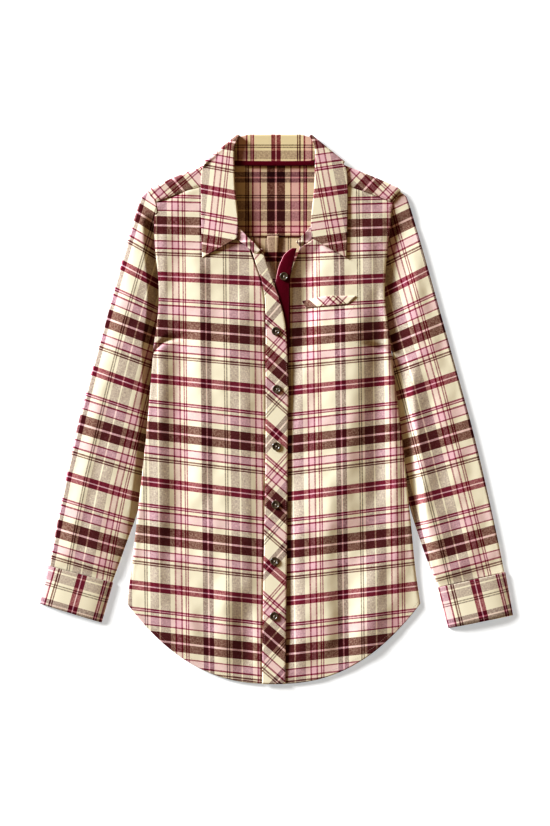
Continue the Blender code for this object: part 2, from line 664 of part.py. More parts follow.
cloth("back_panel", back_surface, sum(BACK_COLUMNS), BACK_ROWS, FLANNEL_SHADE, side=0.0)
cloth("yoke", yoke_surface, sum(YOKE_COLUMNS), sum(YOKE_ROWS), FLANNEL, side=0.0, keep=yoke_keep)
cloth("front_right", front_surface(-1.0), sum(FRONT_COLUMNS), FRONT_ROWS, FLANNEL)
cloth("front_left", front_surface(1.0), sum(FRONT_COLUMNS), FRONT_ROWS, FLANNEL, side=-1.0)

# Closing bands

facing = band_surface(FACING_LEVELS, -1.0)
cloth("placket_facing", facing, BAND_COLUMNS, BAND_ROWS, BURGUNDY, wall=BAND)
placket = band_surface(PLACKET_LEVELS, 1.0)
cloth("placket_band", placket, BAND_COLUMNS, BAND_ROWS, FLANNEL, wall=BAND)

# Collar and neck tape

stand = collar_surface(STAND_FRONT, STAND_BACK_FOLD_Y, STAND_BACK_NECK_Y,
                       STAND_UNDER_Z, STAND_OVER_Z, 0.0)
cloth("collar_stand", stand, sum(COLLAR_COLUMNS), STAND_ROWS, FLANNEL_SHADE, side=0.0)
leaf = collar_surface(LEAF_FRONT, LEAF_BACK_FOLD_Y, LEAF_BACK_EDGE_Y,
                      LEAF_UNDER_Z, LEAF_OVER_Z, LEAF_FOLD_ROLL)
cloth("collar_leaf", leaf, sum(COLLAR_COLUMNS), sum(LEAF_ROWS), FLANNEL, wall=BAND, side=0.0)
cloth("neck_tape", tape_surface, 8, 1, BURGUNDY, wall=TRIM)

# Sleeves and cuffs

around = sum(TUBE_COLUMNS)
right_sleeve = tube_surface(SLEEVE_RIGHT, -1.0, True)
cloth("sleeve_right", right_sleeve, around, SLEEVE_ROWS, FLANNEL, side=1.0, closed=True)
left_sleeve = tube_surface(SLEEVE_LEFT, 1.0, True)
cloth("sleeve_left", left_sleeve, around, SLEEVE_ROWS, FLANNEL, side=-1.0, closed=True)
right_cuff = tube_surface(cuff_table(SLEEVE_RIGHT[-1], CUFF_RIGHT_END, -1.0), -1.0, False)
cloth("cuff_right", right_cuff, around, CUFF_ROWS, FLANNEL, wall=BAND, side=1.0, closed=True)
left_cuff = tube_surface(cuff_table(SLEEVE_LEFT[-1], CUFF_LEFT_END, 1.0), 1.0, False)
cloth("cuff_left", left_cuff, around, CUFF_ROWS, FLANNEL, wall=BAND, side=-1.0, closed=True)

# Pocket welt and buttons

cloth("pocket_welt", welt_surface, 8, 2, FLANNEL, wall=TRIM)
facing_z = level(FACING_LEVELS, "under_z", FACING_BUTTON.y) + BAND + SEAM_GAP
make_button(FACING_BUTTON, facing_z)
for band_button in BAND_BUTTONS:
    make_button(band_button, level(PLACKET_LEVELS, "under_z", band_button.y) + BAND + SEAM_GAP)
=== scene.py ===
"""A plaid flannel shirt tunic lying flat, front up, dressed for rendering from straight above.

Metres, +Z up. +Y runs from hem to collar and +X to the wearer's left. Every cloth piece is a thin
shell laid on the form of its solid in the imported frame.
"""

import bpy
import numpy as np
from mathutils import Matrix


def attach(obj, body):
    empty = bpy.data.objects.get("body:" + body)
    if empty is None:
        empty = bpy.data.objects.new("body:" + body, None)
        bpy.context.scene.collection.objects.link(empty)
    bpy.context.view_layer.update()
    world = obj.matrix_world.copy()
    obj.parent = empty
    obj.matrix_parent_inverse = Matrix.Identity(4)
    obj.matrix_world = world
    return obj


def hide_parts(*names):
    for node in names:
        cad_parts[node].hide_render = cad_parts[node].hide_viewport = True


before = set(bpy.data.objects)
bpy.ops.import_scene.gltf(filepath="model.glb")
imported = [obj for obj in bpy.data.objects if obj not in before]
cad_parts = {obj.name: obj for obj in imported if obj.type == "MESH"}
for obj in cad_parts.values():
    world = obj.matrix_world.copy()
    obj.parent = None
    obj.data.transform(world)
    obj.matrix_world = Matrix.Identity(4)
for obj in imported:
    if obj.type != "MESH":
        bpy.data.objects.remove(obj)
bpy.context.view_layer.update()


# ---- back panel
# One cut of brushed cotton flannel with the plaid woven in and a shirt-tail hem. It lies face down
# on the table, and a box pleat under the yoke seam gives it fullness.

LAYOUT_SHIFT = np.array((0.00026, 0.00128, 0.0))
FLANNEL_WALL = 0.0010
FLOOR_GAP = 0.0001
# y, then x of the right and of the left edge
EDGE_Y, RIGHT_EDGE, LEFT_EDGE = np.array((
    (-0.277, -0.2120, 0.2040), (-0.244, -0.2080, 0.1990), (-0.159, -0.1980, 0.1900),
    (-0.045, -0.1855, 0.1785), (0.054, -0.1770, 0.1660), (0.090, -0.1740, 0.1620),
    (0.125, -0.1690, 0.1575), (0.154, -0.1670, 0.1540), (0.189, -0.1680, 0.1545),
    (0.225, -0.1720, 0.1575), (0.260, -0.1735, 0.1620), (0.291, -0.1740, 0.1660),
    (0.308, -0.1820, 0.1770),
)).T
HEM_CORNER_Y = -0.277
HEM_DROP = 0.114
HEM_CURVE = 2.4
HEM_CENTRE_X = -0.004
YOKE_SEAM_Y = 0.247
BACK_HEM_SHORTER = 0.002
SLEEVE_TUCK = 0.0055
TUCK_LOW_Y = -0.200
TUCK_EASE = 0.040
PLEAT_X = -0.005
PLEAT_HALF = 0.009
PLEAT_OVERHANG = 0.0062
PLEAT_HEIGHT = 0.0046
PLEAT_END_Y = 0.170
PLEAT_SHARE = 0.20

# Yarns, as the numbers in which they blend in the cloth, and the two setts, widths in millimetres
IVORY = (0.935, 0.885, 0.740)
PALE = (0.900, 0.690, 0.680)
PINK = (0.905, 0.700, 0.712)
ROSE = (0.855, 0.635, 0.650)
BROWN = (0.205, 0.020, 0.015)
BURGUNDY = (0.360, 0.010, 0.080)
CRIMSON = (0.380, 0.010, 0.110)
UMBER = (0.270, 0.105, 0.085)
TAUPE = (0.350, 0.230, 0.240)
MAUVE = (0.180, 0.050, 0.090)
GREY = (0.240, 0.170, 0.130)
MAROON = (0.360, 0.020, 0.110)
WEFT_SETT = (
    (PALE, 1.4), (BROWN, 11.2), (IVORY, 8.3), (CRIMSON, 2.0), (PINK, 8.8), (CRIMSON, 2.0),
    (IVORY, 4.5), (UMBER, 1.9), (IVORY, 1.2), (UMBER, 1.9), (IVORY, 23.3), (BURGUNDY, 5.8),
    (PINK, 1.9), (BURGUNDY, 5.4), (IVORY, 24.8), (CRIMSON, 2.0), (PINK, 1.0), (CRIMSON, 2.0),
    (IVORY, 4.2), (CRIMSON, 1.9), (PINK, 10.4), (CRIMSON, 2.0), (IVORY, 7.7), (BROWN, 11.5),
    (PALE, 1.4),
)
WARP_SETT = (
    (IVORY, 1.0), (TAUPE, 14.0), (IVORY, 6.7), (MAROON, 1.9), (ROSE, 6.6), (MAROON, 2.1),
    (IVORY, 3.9), (MAROON, 1.9), (IVORY, 1.3), (MAROON, 1.9), (IVORY, 19.9), (MAUVE, 7.0),
    (PINK, 2.1), (MAUVE, 5.7), (IVORY, 18.0), (GREY, 1.8), (IVORY, 1.3), (GREY, 1.8),
    (IVORY, 3.7), (TAUPE, 12.2), (IVORY, 1.0),
)
WEFT_SHARE = 0.65
STRONG_WARP = {MAROON: 0.50, GREY: 0.52, MAUVE: 0.59}
HEATHER = 0.26
YARN_GAMMA = 1.6
FUZZ = 0.0005
NAP_SCALE = 900.0
SLUB_THIN = 760.0
SLUB_LONG = 260.0
TWILL_SCALE = 5200.0
FACE_TINT = (1.0, 1.0, 1.0, 1.0)
# painted shade: the insides seen in the neck lie in the collar's shade, so their copy of the plaid
# is darkened and given more contrast
INSIDE_SHADE_TINT = (0.89, 0.79, 0.75, 1.0)
INSIDE_SHADE_GAMMA = 1.95
BACK_GRAIN = (-0.0007, 0.2881)
THREAD_PLIES = 1400.0


class Yarn:
    """A socket of a shader tree. Arithmetic on it adds Math nodes; add() makes any other node."""

    def __init__(self, tree, socket=None):
        self.tree = tree
        self.socket = socket

    def add(self, kind, settings=(), inputs=(), out=0):
        node = self.tree.nodes.new("ShaderNode" + kind)
        for name, value in dict(settings).items():
            if name == "stops":
                self.fill_ramp(node.color_ramp, value)
            else:
                setattr(node, name, value)
        for name, value in dict(inputs).items():
            if isinstance(value, Yarn):
                self.tree.links.new(value.socket, node.inputs[name])
            else:
                node.inputs[name].default_value = value
        return Yarn(self.tree, node.outputs[out])

    def fill_ramp(self, ramp, stops):
        ramp.interpolation = "CONSTANT"
        for place, colour in stops[1:-1]:
            ramp.elements.new(place)
        for element, (place, colour) in zip(ramp.elements, stops):
            element.position = place
            element.color = colour

    def output(self, out):
        return Yarn(self.tree, self.socket.node.outputs[out])

    def math(self, operation, *values):
        return self.add("Math", {"operation": operation}, dict(enumerate(values)))

    def blend(self, first, second):
        return self.add("Mix", {"data_type": "RGBA"}, {0: self, 6: first, 7: second}, out=2)

    def __add__(self, other):
        return self.math("ADD", self, other)

    def __sub__(self, other):
        return self.math("SUBTRACT", self, other)

    def __rsub__(self, other):
        return self.math("SUBTRACT", other, self)

    def __mul__(self, other):
        return self.math("MULTIPLY", self, other)

    def __truediv__(self, other):
        return self.math("DIVIDE", self, other)

    def __rtruediv__(self, other):
        return self.math("DIVIDE", other, self)

    __radd__ = __add__
    __rmul__ = __mul__


def new_finish(name, **constants):
    """New material: its tree, its shader, and the constants set on the shader's own sockets."""
    material = bpy.data.materials.new(name)
    material.use_nodes = True
    shader = material.node_tree.nodes["Principled BSDF"]
    for socket, value in constants.items():
        shader.inputs[socket.replace("_", " ")].default_value = value
    return material, Yarn(material.node_tree), shader


def feed(shader, **values):
    """Link each value to the shader's socket of that name."""
    for socket, value in values.items():
        value.tree.links.new(value.socket, shader.inputs[socket.replace("_", " ")])


def sett_repeat(sett):
    """Width of one repeat of a sett, in metres."""
    return sum(width for yarn, width in sett) / 1000.0


def sett_stops(sett):
    """Ramp stops of a sett: each yarn starts where the last one ends. Alpha is the weft's share."""
    widths = np.array([width for yarn, width in sett])
    starts = np.concatenate(((0.0,), np.cumsum(widths)[:-1])) / widths.sum()
    shares = [STRONG_WARP.get(yarn, WEFT_SHARE) for yarn, width in sett]
    colours = [(*yarn, share) for (yarn, width), share in zip(sett, shares)]
    return list(zip(starts, colours))


def plaid_finish(name, tint, depth):
    """Two setts cross: at each point the warp and the weft yarn are blended by the weft's share,
    with slubs along both yarns, and a brushed nap blurs the stripes and roughens the face. tint and
    depth paint shade into a copy: darker, with more contrast, for insides that lie in shade."""
    material, tree, shader = new_finish(name, Roughness=0.95, Sheen_Weight=0.10,
                                        Sheen_Roughness=0.6, Specular_IOR_Level=0.15)
    cut = tree.add("UVMap", {"uv_map": "cut"})
    nap = cut.add("TexNoise", {}, {"Vector": cut, "Scale": NAP_SCALE, "Detail": 2.0})
    parts = cut.add("SeparateXYZ", {}, {0: cut})
    across, along = (parts.output(axis) + (nap - 0.5) * FUZZ for axis in (0, 1))
    colours, slubs = [], []
    for place, sett in ((across, WARP_SETT), (along, WEFT_SETT)):
        place = cut.math("FRACT", place / sett_repeat(sett))
        colours.append(cut.add("ValToRGB", {"stops": sett_stops(sett)}, {0: place}))
    warp, weft = colours
    for scale_across, scale_along in ((SLUB_THIN, SLUB_LONG), (SLUB_LONG, SLUB_THIN)):
        place = cut.add("CombineXYZ", {}, {0: across * scale_across, 1: along * scale_along})
        slubs.append(cut.add("TexNoise", {}, {"Vector": place, "Scale": 1.0, "Detail": 1.0}))
    warp_slub, weft_slub = slubs
    share = warp.output(1) + (weft_slub - warp_slub) * (2.0 * HEATHER)
    dyed_and_shaded = cut.add("Gamma", {}, {0: share.blend(warp, weft), 1: depth})
    multiply = {"data_type": "RGBA", "blend_type": "MULTIPLY"}
    # tint multiplies painted shade into the copies used on insides; the outer face's tint is white
    dyed_and_shaded = cut.add("Mix", multiply, {0: 1.0, 6: dyed_and_shaded, 7: tint}, out=2)
    twill = cut.math("SINE", (across + along) * TWILL_SCALE)
    weave = twill * 0.25 + nap + (warp_slub + weft_slub) * 0.5
    relief = cut.add("Bump", {}, {"Strength": 0.35, "Distance": 0.0004, "Height": weave})
    feed(shader, Base_Color=dyed_and_shaded, Roughness=0.86 + nap * 0.14, Normal=relief)
    return material


def smooth(value):
    """Ease from 0 to 1 with level ends."""
    t = np.clip(value, 0.0, 1.0)
    return t * t * (3.0 - 2.0 * t)


def mix(first, second, share):
    """Value on the way from the first to the second."""
    return first + (second - first) * share


def stack(*parts):
    """Points, or places in the cut, from their coordinates."""
    return np.stack(np.broadcast_arrays(*parts), axis=-1)


def curve(keys, values, at):
    """Smooth curve through table values: cubics whose slopes come from both neighbours."""
    keys = np.asarray(keys, dtype=float)
    values = np.asarray(values, dtype=float)
    slopes = np.gradient(values, keys)
    index = np.clip(np.searchsorted(keys, at) - 1, 0, len(keys) - 2)
    span = keys[index + 1] - keys[index]
    t = np.clip((at - keys[index]) / span, 0.0, 1.0)
    start = (values[index] * (1.0 + 2.0 * t) + slopes[index] * span * t) * (1.0 - t) ** 2
    end = (values[index + 1] * (3.0 - 2.0 * t) - slopes[index + 1] * span * (1.0 - t)) * t * t
    return start + end


def even(values, at):
    """Smooth curve through values that stand at even places from 0 to 1."""
    return curve(np.linspace(0.0, 1.0, len(values)), values, at)


def side_x(sign, y):
    """Edge of the body at height y: the right edge where sign is negative, else the left one."""
    return np.where(sign < 0, curve(EDGE_Y, RIGHT_EDGE, y), curve(EDGE_Y, LEFT_EDGE, y))


def hem_y(x):
    """Shirt-tail hem: from the side corners it falls steeply, then levels out at the middle."""
    half = np.where(x < HEM_CENTRE_X, HEM_CENTRE_X - RIGHT_EDGE[0], LEFT_EDGE[0] - HEM_CENTRE_X)
    inward = np.clip(1.0 - abs(x - HEM_CENTRE_X) / half, 0.0, 1.0)
    return HEM_CORNER_Y - HEM_DROP * (1.0 - (1.0 - inward) ** HEM_CURVE)


def crowd(t, amount):
    """Spread of a parameter that crowds towards both of its ends."""
    return t - amount * np.sin(2.0 * np.pi * t) / (2.0 * np.pi)


def grid(columns, rows, crowd_u=0.0, crowd_v=0.0):
    """Grid of the two parameters of a surface, u along the columns and v along the rows."""
    across = crowd(np.linspace(0.0, 1.0, columns + 1), crowd_u)
    along = crowd(np.linspace(0.0, 1.0, rows + 1), crowd_v)
    return np.meshgrid(across, along)


def cell_middles(parameter):
    """Value of a parameter in the middle of each cell of its grid."""
    return (parameter[:-1, :-1] + parameter[1:, 1:]) / 2.0


def grain(points, origin, weft_turn=0.0, warp_sign=1.0, weft_sign=1.0, start=(0.0, 0.0)):
    """Place of a point in the plaid: distance along the weft lines and down across them, for a
    piece cut with its weft turned by weft_turn degrees at origin."""
    turn = np.radians(weft_turn)
    dx, dy = points[..., 0] - origin[0], points[..., 1] - origin[1]
    across = warp_sign * (dx * np.cos(turn) + dy * np.sin(turn)) + start[0]
    along = weft_sign * (dx * np.sin(turn) - dy * np.cos(turn)) + start[1]
    return stack(across, along)


def put(name, data):
    """New object in the scene, at the origin."""
    thing = bpy.data.objects.new(name, data)
    bpy.context.scene.collection.objects.link(thing)
    return thing


def cloth(name, points, cut, wall, material, up_at=(0.5, 0.5), closed=False, keep=None, inside=None,
          painted_shade_finish=None):
    """Sheet on a grid of points that are its outer face, walled inwards. cut is its place in the
    plaid, kept as UVs. up_at names the cell that must face up, closed joins the last column, keep
    marks the cells that stay and inside those that turn the inner face up; these take the second
    finish, a copy of the plaid darkened with painted shade."""
    rows, columns = points.shape[:2]
    grid_index = np.arange(rows * columns).reshape(rows, columns)
    corners = (grid_index[:-1, :-1], grid_index[:-1, 1:], grid_index[1:, 1:], grid_index[1:, :-1])
    faces = np.stack(corners, axis=-1)
    keep = np.ones(faces.shape[:2], dtype=bool) if keep is None else keep
    faces = faces[keep]
    row = int(up_at[1] * (rows - 2))
    column = int(up_at[0] * (columns - 2))
    across = points[row, column + 1] - points[row, column]
    along = points[row + 1, column] - points[row, column]
    if np.cross(across, along)[2] < 0.0:
        faces = faces[:, ::-1]
    joined = grid_index.copy()
    if closed:
        joined[:, -1] = joined[:, 0]
    used, corner_verts = np.unique(joined.ravel()[faces], return_inverse=True)
    mesh = bpy.data.meshes.new(name)
    places = points.reshape(-1, 3)[used] + LAYOUT_SHIFT
    mesh.from_pydata(places.tolist(), [], corner_verts.reshape(-1, 4).tolist())
    uv_map = mesh.uv_layers.new(name="cut")
    uv_map.data.foreach_set("uv", cut.reshape(-1, 2)[faces.ravel()].astype(np.float32).ravel())
    mesh.polygons.foreach_set("use_smooth", np.ones(len(faces), dtype=bool))
    mesh.materials.append(material)
    if inside is not None:
        mesh.materials.append(painted_shade_finish)
        mesh.polygons.foreach_set("material_index", inside[keep].astype(np.int32))
    piece = put(name, mesh)
    if wall:
        thick = piece.modifiers.new("wall", "SOLIDIFY")
        thick.thickness = wall
        thick.offset = -1.0
    return piece


def dress(piece, node, area):
    """A cloth piece stands in for its solid, which is hidden, and rides on the one body."""
    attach(piece, "root")
    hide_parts(node)


def thread_finish(name, dark, light):
    """Spun sewing thread: fine specks of light and dark along the plies, a little raised."""
    material, tree, shader = new_finish(name, Roughness=0.75)
    place = tree.add("TexCoord", {}, {}, out=3)
    plies = place.add("TexNoise", {}, {"Vector": place, "Scale": THREAD_PLIES, "Detail": 3.0})
    relief = place.add("Bump", {}, {"Strength": 0.4, "Distance": 0.0001, "Height": plies})
    feed(shader, Base_Color=plies.blend(dark, light), Normal=relief)
    return material


def row_on(surface, u, v):
    """Row of points on a surface, along one parameter with the other one held."""
    return surface(*np.broadcast_arrays(u, v))


def sew(name, rows, thread, length=0.0022, pitch=0.0030, width=0.0005, height=0.0003):
    """Stitches along each row of points: slim grains of thread with eight faces, pointed at both
    ends, at an even pitch along the row."""
    corners = []
    for row in rows:
        run = np.concatenate(((0.0,), np.cumsum(np.linalg.norm(np.diff(row, axis=0), axis=1))))
        middle = np.arange(pitch / 2.0, run[-1], pitch)
        ends = [stack(*(np.interp(middle + shift, run, axis) for axis in row.T))
                for shift in (-length / 2.0, length / 2.0)]
        way = (ends[1] - ends[0]) / np.linalg.norm(ends[1] - ends[0], axis=1, keepdims=True)
        side = stack(-way[:, 1], way[:, 0], 0.0) * width / 2.0
        centre = (ends[0] + ends[1]) / 2.0
        top = np.array((0.0, 0.0, height))
        sides = (centre + side, centre - side, centre + top, centre - top / 2.0)
        corners.append(np.stack((*ends, *sides), axis=1))
    corners = np.concatenate(corners) + LAYOUT_SHIFT
    grain_faces = np.array(((1, 2, 4), (2, 0, 4), (0, 3, 4), (3, 1, 4),
                            (2, 1, 5), (0, 2, 5), (3, 0, 5), (1, 3, 5)))
    faces = np.arange(len(corners))[:, None, None] * 6 + grain_faces
    mesh = bpy.data.meshes.new(name)
    mesh.from_pydata(corners.reshape(-1, 3).tolist(), [], faces.reshape(-1, 3).tolist())
    mesh.materials.append(thread)
    piece = put(name, mesh)
    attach(piece, "root")


def back_points(u, v):
    """Back: columns run from side to side with an omega-shaped fold between them, rows from hem to
    yoke seam; the sides stay inside the fronts' where a sleeve is tucked under them."""
    sign = np.where(u < 0.5, -1.0, 1.0)
    side_share = 0.5 - PLEAT_SHARE / 2.0
    outward = np.maximum(abs(u - 0.5) - 0.5 + side_share, 0.0) / side_share
    turn = sign * np.pi * np.minimum(abs(u - 0.5) / (0.5 - side_share), 1.0)
    base_x = PLEAT_X + PLEAT_HALF * turn / np.pi
    hem_x = mix(base_x, np.where(sign < 0, RIGHT_EDGE[0], LEFT_EDGE[0]), outward)
    low_y = hem_y(hem_x) + BACK_HEM_SHORTER
    y = mix(low_y, YOKE_SEAM_Y, v)
    depth = smooth((y - PLEAT_END_Y) / (YOKE_SEAM_Y - PLEAT_END_Y))
    x = base_x + PLEAT_OVERHANG * depth * np.sin(2.0 * turn)
    tuck = SLEEVE_TUCK * smooth((y - TUCK_LOW_Y) / TUCK_EASE)
    x = mix(x, side_x(sign, y) - sign * tuck, outward)
    z = FLOOR_GAP + FLANNEL_WALL + PLEAT_HEIGHT * depth * (1.0 + np.cos(turn)) / 2.0
    return stack(x, y, z)


flannel = plaid_finish("flannel_plaid", FACE_TINT, YARN_GAMMA)
# copy of the plaid darkened with painted shade, for the insides that show in the neck
flannel_painted_shade = plaid_finish("flannel_plaid_painted_shade", INSIDE_SHADE_TINT, INSIDE_SHADE_GAMMA)
beige_thread = thread_finish("beige_thread", (0.26, 0.17, 0.12, 1.0), (0.66, 0.54, 0.42, 1.0))
u, v = grid(120, 110)
points = back_points(u, v)
cut = grain(points, BACK_GRAIN, warp_sign=-1.0)
# The back shows only inside the neck; it takes the copy of the plaid darkened with painted shade.
back = cloth("back_cloth", points, cut, FLANNEL_WALL, flannel_painted_shade, up_at=(0.2, 0.5))
dress(back, "back_panel", 0.2216)


# ---- yoke
# One flannel piece, cut across the grain: the back yoke, folded over both shoulders and sewn down
# on the fronts. Its inside shows in the neck.

COLLAR_MIDDLE = -0.0030
SHOULDER_NECK_HALF = 0.0880
SHOULDER_NECK_Y = 0.3455
SHOULDER_ARM_Y = 0.3058
SHOULDER_SLOPE = 0.37
YOKE_FRONT_ARM_Y = 0.2915
YOKE_FRONT_NECK_Y = 0.3200
YOKE_TOP_Z = 0.0096
YOKE_NECK_LIFT = 0.0027
YOKE_LIFT_Y = 0.318
YOKE_LIFT_SPAN = 0.026
YOKE_ARM_SHARE = 0.32
YOKE_BACK_SHARE = 0.36
YOKE_ROLL_SHARE = 0.60
YOKE_OVERLAP = 0.0008
YOKE_ARM_DIP = 0.0030
YOKE_ARM_ROLL = 0.010
YOKE_LAP = 0.004
YOKE_LAP_LIFT = 0.0012
YOKE_LAP_EASE = 0.008
YOKE_TUCK_FROM = 0.27
YOKE_TUCK_EASE = 0.08
YOKE_SEAM_DIP = 0.0006
YOKE_STITCH_AT = 0.955


def yoke_points(u, v):
    """Yoke: rows rise from the back seam to the shoulder line, go round half a turn over it and
    fall to the front seam; columns run from arm to arm."""
    sign = np.where(u < 0.5, -1.0, 1.0)
    inward = np.minimum(u, 1.0 - u)
    reach = np.minimum(inward / YOKE_ARM_SHARE, 1.0)
    across = np.maximum(inward - YOKE_ARM_SHARE, 0.0) / (0.5 - YOKE_ARM_SHARE)
    neck_x = COLLAR_MIDDLE + sign * SHOULDER_NECK_HALF * (1.0 - across)
    top_y = mix(SHOULDER_ARM_Y, SHOULDER_NECK_Y, reach)
    y = mix(YOKE_SEAM_Y - YOKE_LAP, top_y, np.minimum(v / YOKE_BACK_SHARE, 1.0))
    tuck = SLEEVE_TUCK * (1.0 - smooth((v - YOKE_TUCK_FROM) / YOKE_TUCK_EASE))
    edge_x = side_x(sign, y) - sign * tuck
    x = mix(edge_x, neck_x, reach)
    under = FLOOR_GAP + YOKE_NECK_LIFT * smooth((y - YOKE_LIFT_Y) / YOKE_LIFT_SPAN)
    under = under + YOKE_LAP_LIFT * smooth((YOKE_SEAM_Y + YOKE_LAP_EASE - y) / YOKE_LAP_EASE)
    turn = np.clip((v - YOKE_BACK_SHARE) / (YOKE_ROLL_SHARE - YOKE_BACK_SHARE), 0.0, 1.0) * np.pi
    fall = np.clip((v - YOKE_ROLL_SHARE) / (1.0 - YOKE_ROLL_SHARE), 0.0, 1.0)
    radius = (YOKE_TOP_Z - under) / 2.0
    x = x + sign * SHOULDER_SLOPE * np.minimum(3.0 * reach, 1.0) * radius * np.sin(turn)
    y = y + radius * np.sin(turn)
    z = under + radius * (1.0 - np.cos(turn))
    seam_y = mix(YOKE_FRONT_ARM_Y, YOKE_FRONT_NECK_Y, reach) - YOKE_OVERLAP
    seam_x = mix(side_x(sign, seam_y), COLLAR_MIDDLE + sign * SHOULDER_NECK_HALF, reach)
    x = mix(x, seam_x, fall)
    y = mix(y, seam_y, fall)
    on_top = smooth(v / YOKE_ROLL_SHARE - 0.5)
    z = z - YOKE_ARM_DIP * on_top * (1.0 - smooth(abs(x - side_x(sign, y)) / YOKE_ARM_ROLL)) ** 2
    z = z - YOKE_SEAM_DIP * smooth((fall - 0.8) / 0.2)
    return stack(x, y, z)


u, v = grid(200, 72)
points = yoke_points(u, v)
inside_cut = grain(points, (-0.0007, 0.2811), weft_turn=90.0, warp_sign=-1.0, weft_sign=-1.0)
right_cut = grain(points, (-0.1505, 0.3305), weft_turn=-50.0, start=(0.0182, 0.0))
left_cut = grain(points, (0.1335, 0.3199), weft_turn=47.0, start=(0.0301, 0.0))
front_cut = np.where((u < 0.5)[..., None], right_cut, left_cut)
cut = np.where((v < (YOKE_BACK_SHARE + YOKE_ROLL_SHARE) / 2.0)[..., None], inside_cut, front_cut)
cell_u, cell_v = cell_middles(u), cell_middles(v)
neck_hole = (cell_v > YOKE_BACK_SHARE) & (abs(cell_u - 0.5) < 0.5 - YOKE_ARM_SHARE)
# The yoke's inside, seen in the neck, takes the copy of the plaid darkened with painted shade.
yoke = cloth("yoke_cloth", points, cut, FLANNEL_WALL, flannel, up_at=(0.1, 0.9), keep=~neck_hole,
             inside=cell_v < YOKE_BACK_SHARE, painted_shade_finish=flannel_painted_shade)
dress(yoke, "yoke", 0.0362)
seam_u = np.linspace(0.006, YOKE_ARM_SHARE - 0.01, 160)
yoke_rows = [row_on(yoke_points, at, YOKE_STITCH_AT) for at in (seam_u, 1.0 - seam_u)]
sew("yoke_stitching", yoke_rows, beige_thread)


# ---- fronts
# Two flannel panels, each with a bust dart sewn in from the side seam and a narrow shirt-tail hem.
# They lie lofted on the back, sewn to it at the sides and under the yoke at the shoulders.

NECK_HALF = (0.0880, 0.0853, 0.0768, 0.0634, 0.0502, 0.0357)
NECK_Y = (0.3200, 0.2925, 0.2672, 0.2470, 0.2357, 0.2276)
CLOSING_Y = (-0.3905, -0.272, -0.159, -0.059, 0.069, 0.128, 0.154, 0.181, 0.204, 0.226)
RIGHT_SEAM = (-0.0205, -0.0190, -0.0170, -0.0155, -0.0155, -0.0155, -0.0165, -0.0210, -0.0290,
              -0.0360)
LEFT_SEAM_Y = (-0.3900, -0.059, 0.012, 0.060, 0.097, 0.154, 0.180, 0.208, 0.221, 0.2265)
LEFT_SEAM = (0.0100, 0.0100, 0.0120, 0.0165, 0.0185, 0.0190, 0.0190, 0.0240, 0.0270, 0.0285)
CLOSINGS = {-1.0: (CLOSING_Y, RIGHT_SEAM), 1.0: (LEFT_SEAM_Y, LEFT_SEAM)}
LOFT_Y = (-0.391, -0.330, -0.277, -0.159, -0.045, 0.054, 0.125, 0.225, 0.330)
LOFT_Z = (0.0046, 0.0062, 0.0074, 0.0086, 0.0092, 0.0096, 0.0096, 0.0094, 0.0092)
SIDE_Z_Y = (-0.391, -0.277, -0.230, -0.170, 0.060, 0.100, 0.150, 0.291, 0.330)
SIDE_Z = (0.0026, 0.0026, 0.0030, 0.0058, 0.0062, 0.0066, 0.0070, 0.0072, 0.0068)
SIDE_ROLL = 0.0050
SIDE_ROLL_Z = 0.0024
SIDE_ROLL_LOFT = 0.004
SIDE_LOFT = 0.060
HEM_Z = 0.0034
HEM_FALL = 0.45
HEM_FALL_SPAN = 0.050
YOKE_STEP = 0.0014
YOKE_STEP_SPAN = 0.007
CLOSING_TUCK = 0.0030
BAND_UNDER_RIGHT = 0.0014
BAND_UNDER_SPAN = 0.003
# below, then beside the open neck
LEFT_CLOSING_DIP = (0.0032, 0.0004)
LEFT_CLOSING_TROUGH = (0.0004, 0.0062)
LEFT_TROUGH_AT = 0.022
LEFT_TROUGH_WIDTH = 0.014
LEFT_TROUGH_Y = 0.05
LEFT_TROUGH_SPAN = 0.07
LEFT_TROUGH_HEM = 0.090
CLOSING_FLAT = 0.004
CLOSING_RAMP = 0.020
FOLD_FADE = 0.045
FOLD_EDGE = 0.012
FRONT_FOLDS = (
    # x and y at the top, x and y at the bottom, width to the left and right, height or depth
    (-0.1375, 0.1253, -0.1390, -0.2000, 0.014, 0.030, -0.0029),
    (-0.0480, 0.1537, -0.0500, -0.2865, 0.050, 0.022, 0.0026),
    (-0.1090, 0.2105, -0.1060, -0.1300, 0.018, 0.011, 0.0026),
    (-0.0680, -0.2510, -0.0740, -0.3745, 0.018, 0.018, 0.0028),
    (-0.0419, -0.2723, -0.0433, -0.3689, 0.016, 0.014, -0.0027),
    (-0.1625, 0.1000, -0.1690, -0.2723, 0.010, 0.010, 0.0021),
    (-0.1583, 0.2673, -0.1654, 0.1537, 0.008, 0.010, 0.0013),
    (-0.1228, -0.2865, -0.1143, -0.3575, 0.012, 0.012, 0.0012),
    (0.1129, 0.1350, 0.0900, -0.1800, 0.050, 0.022, 0.0048),
    (0.1450, 0.1679, 0.1420, -0.1303, 0.012, 0.010, -0.0025),
    (0.1640, 0.1111, 0.1700, -0.2581, 0.010, 0.010, 0.0019),
    (0.0720, -0.1000, 0.0700, -0.3450, 0.030, 0.014, 0.0025),
    (0.1450, -0.2084, 0.1330, -0.3575, 0.022, 0.016, 0.0030),
    (0.0973, -0.2300, 0.0940, -0.3504, 0.016, 0.016, -0.0023),
    (0.0348, -0.1587, 0.0362, -0.3802, 0.010, 0.014, 0.0013),
    (0.1271, 0.2602, 0.1356, 0.1750, 0.010, 0.010, 0.0013),
    (0.1512, 0.2744, 0.1555, 0.1679, 0.008, 0.008, 0.0012),
)
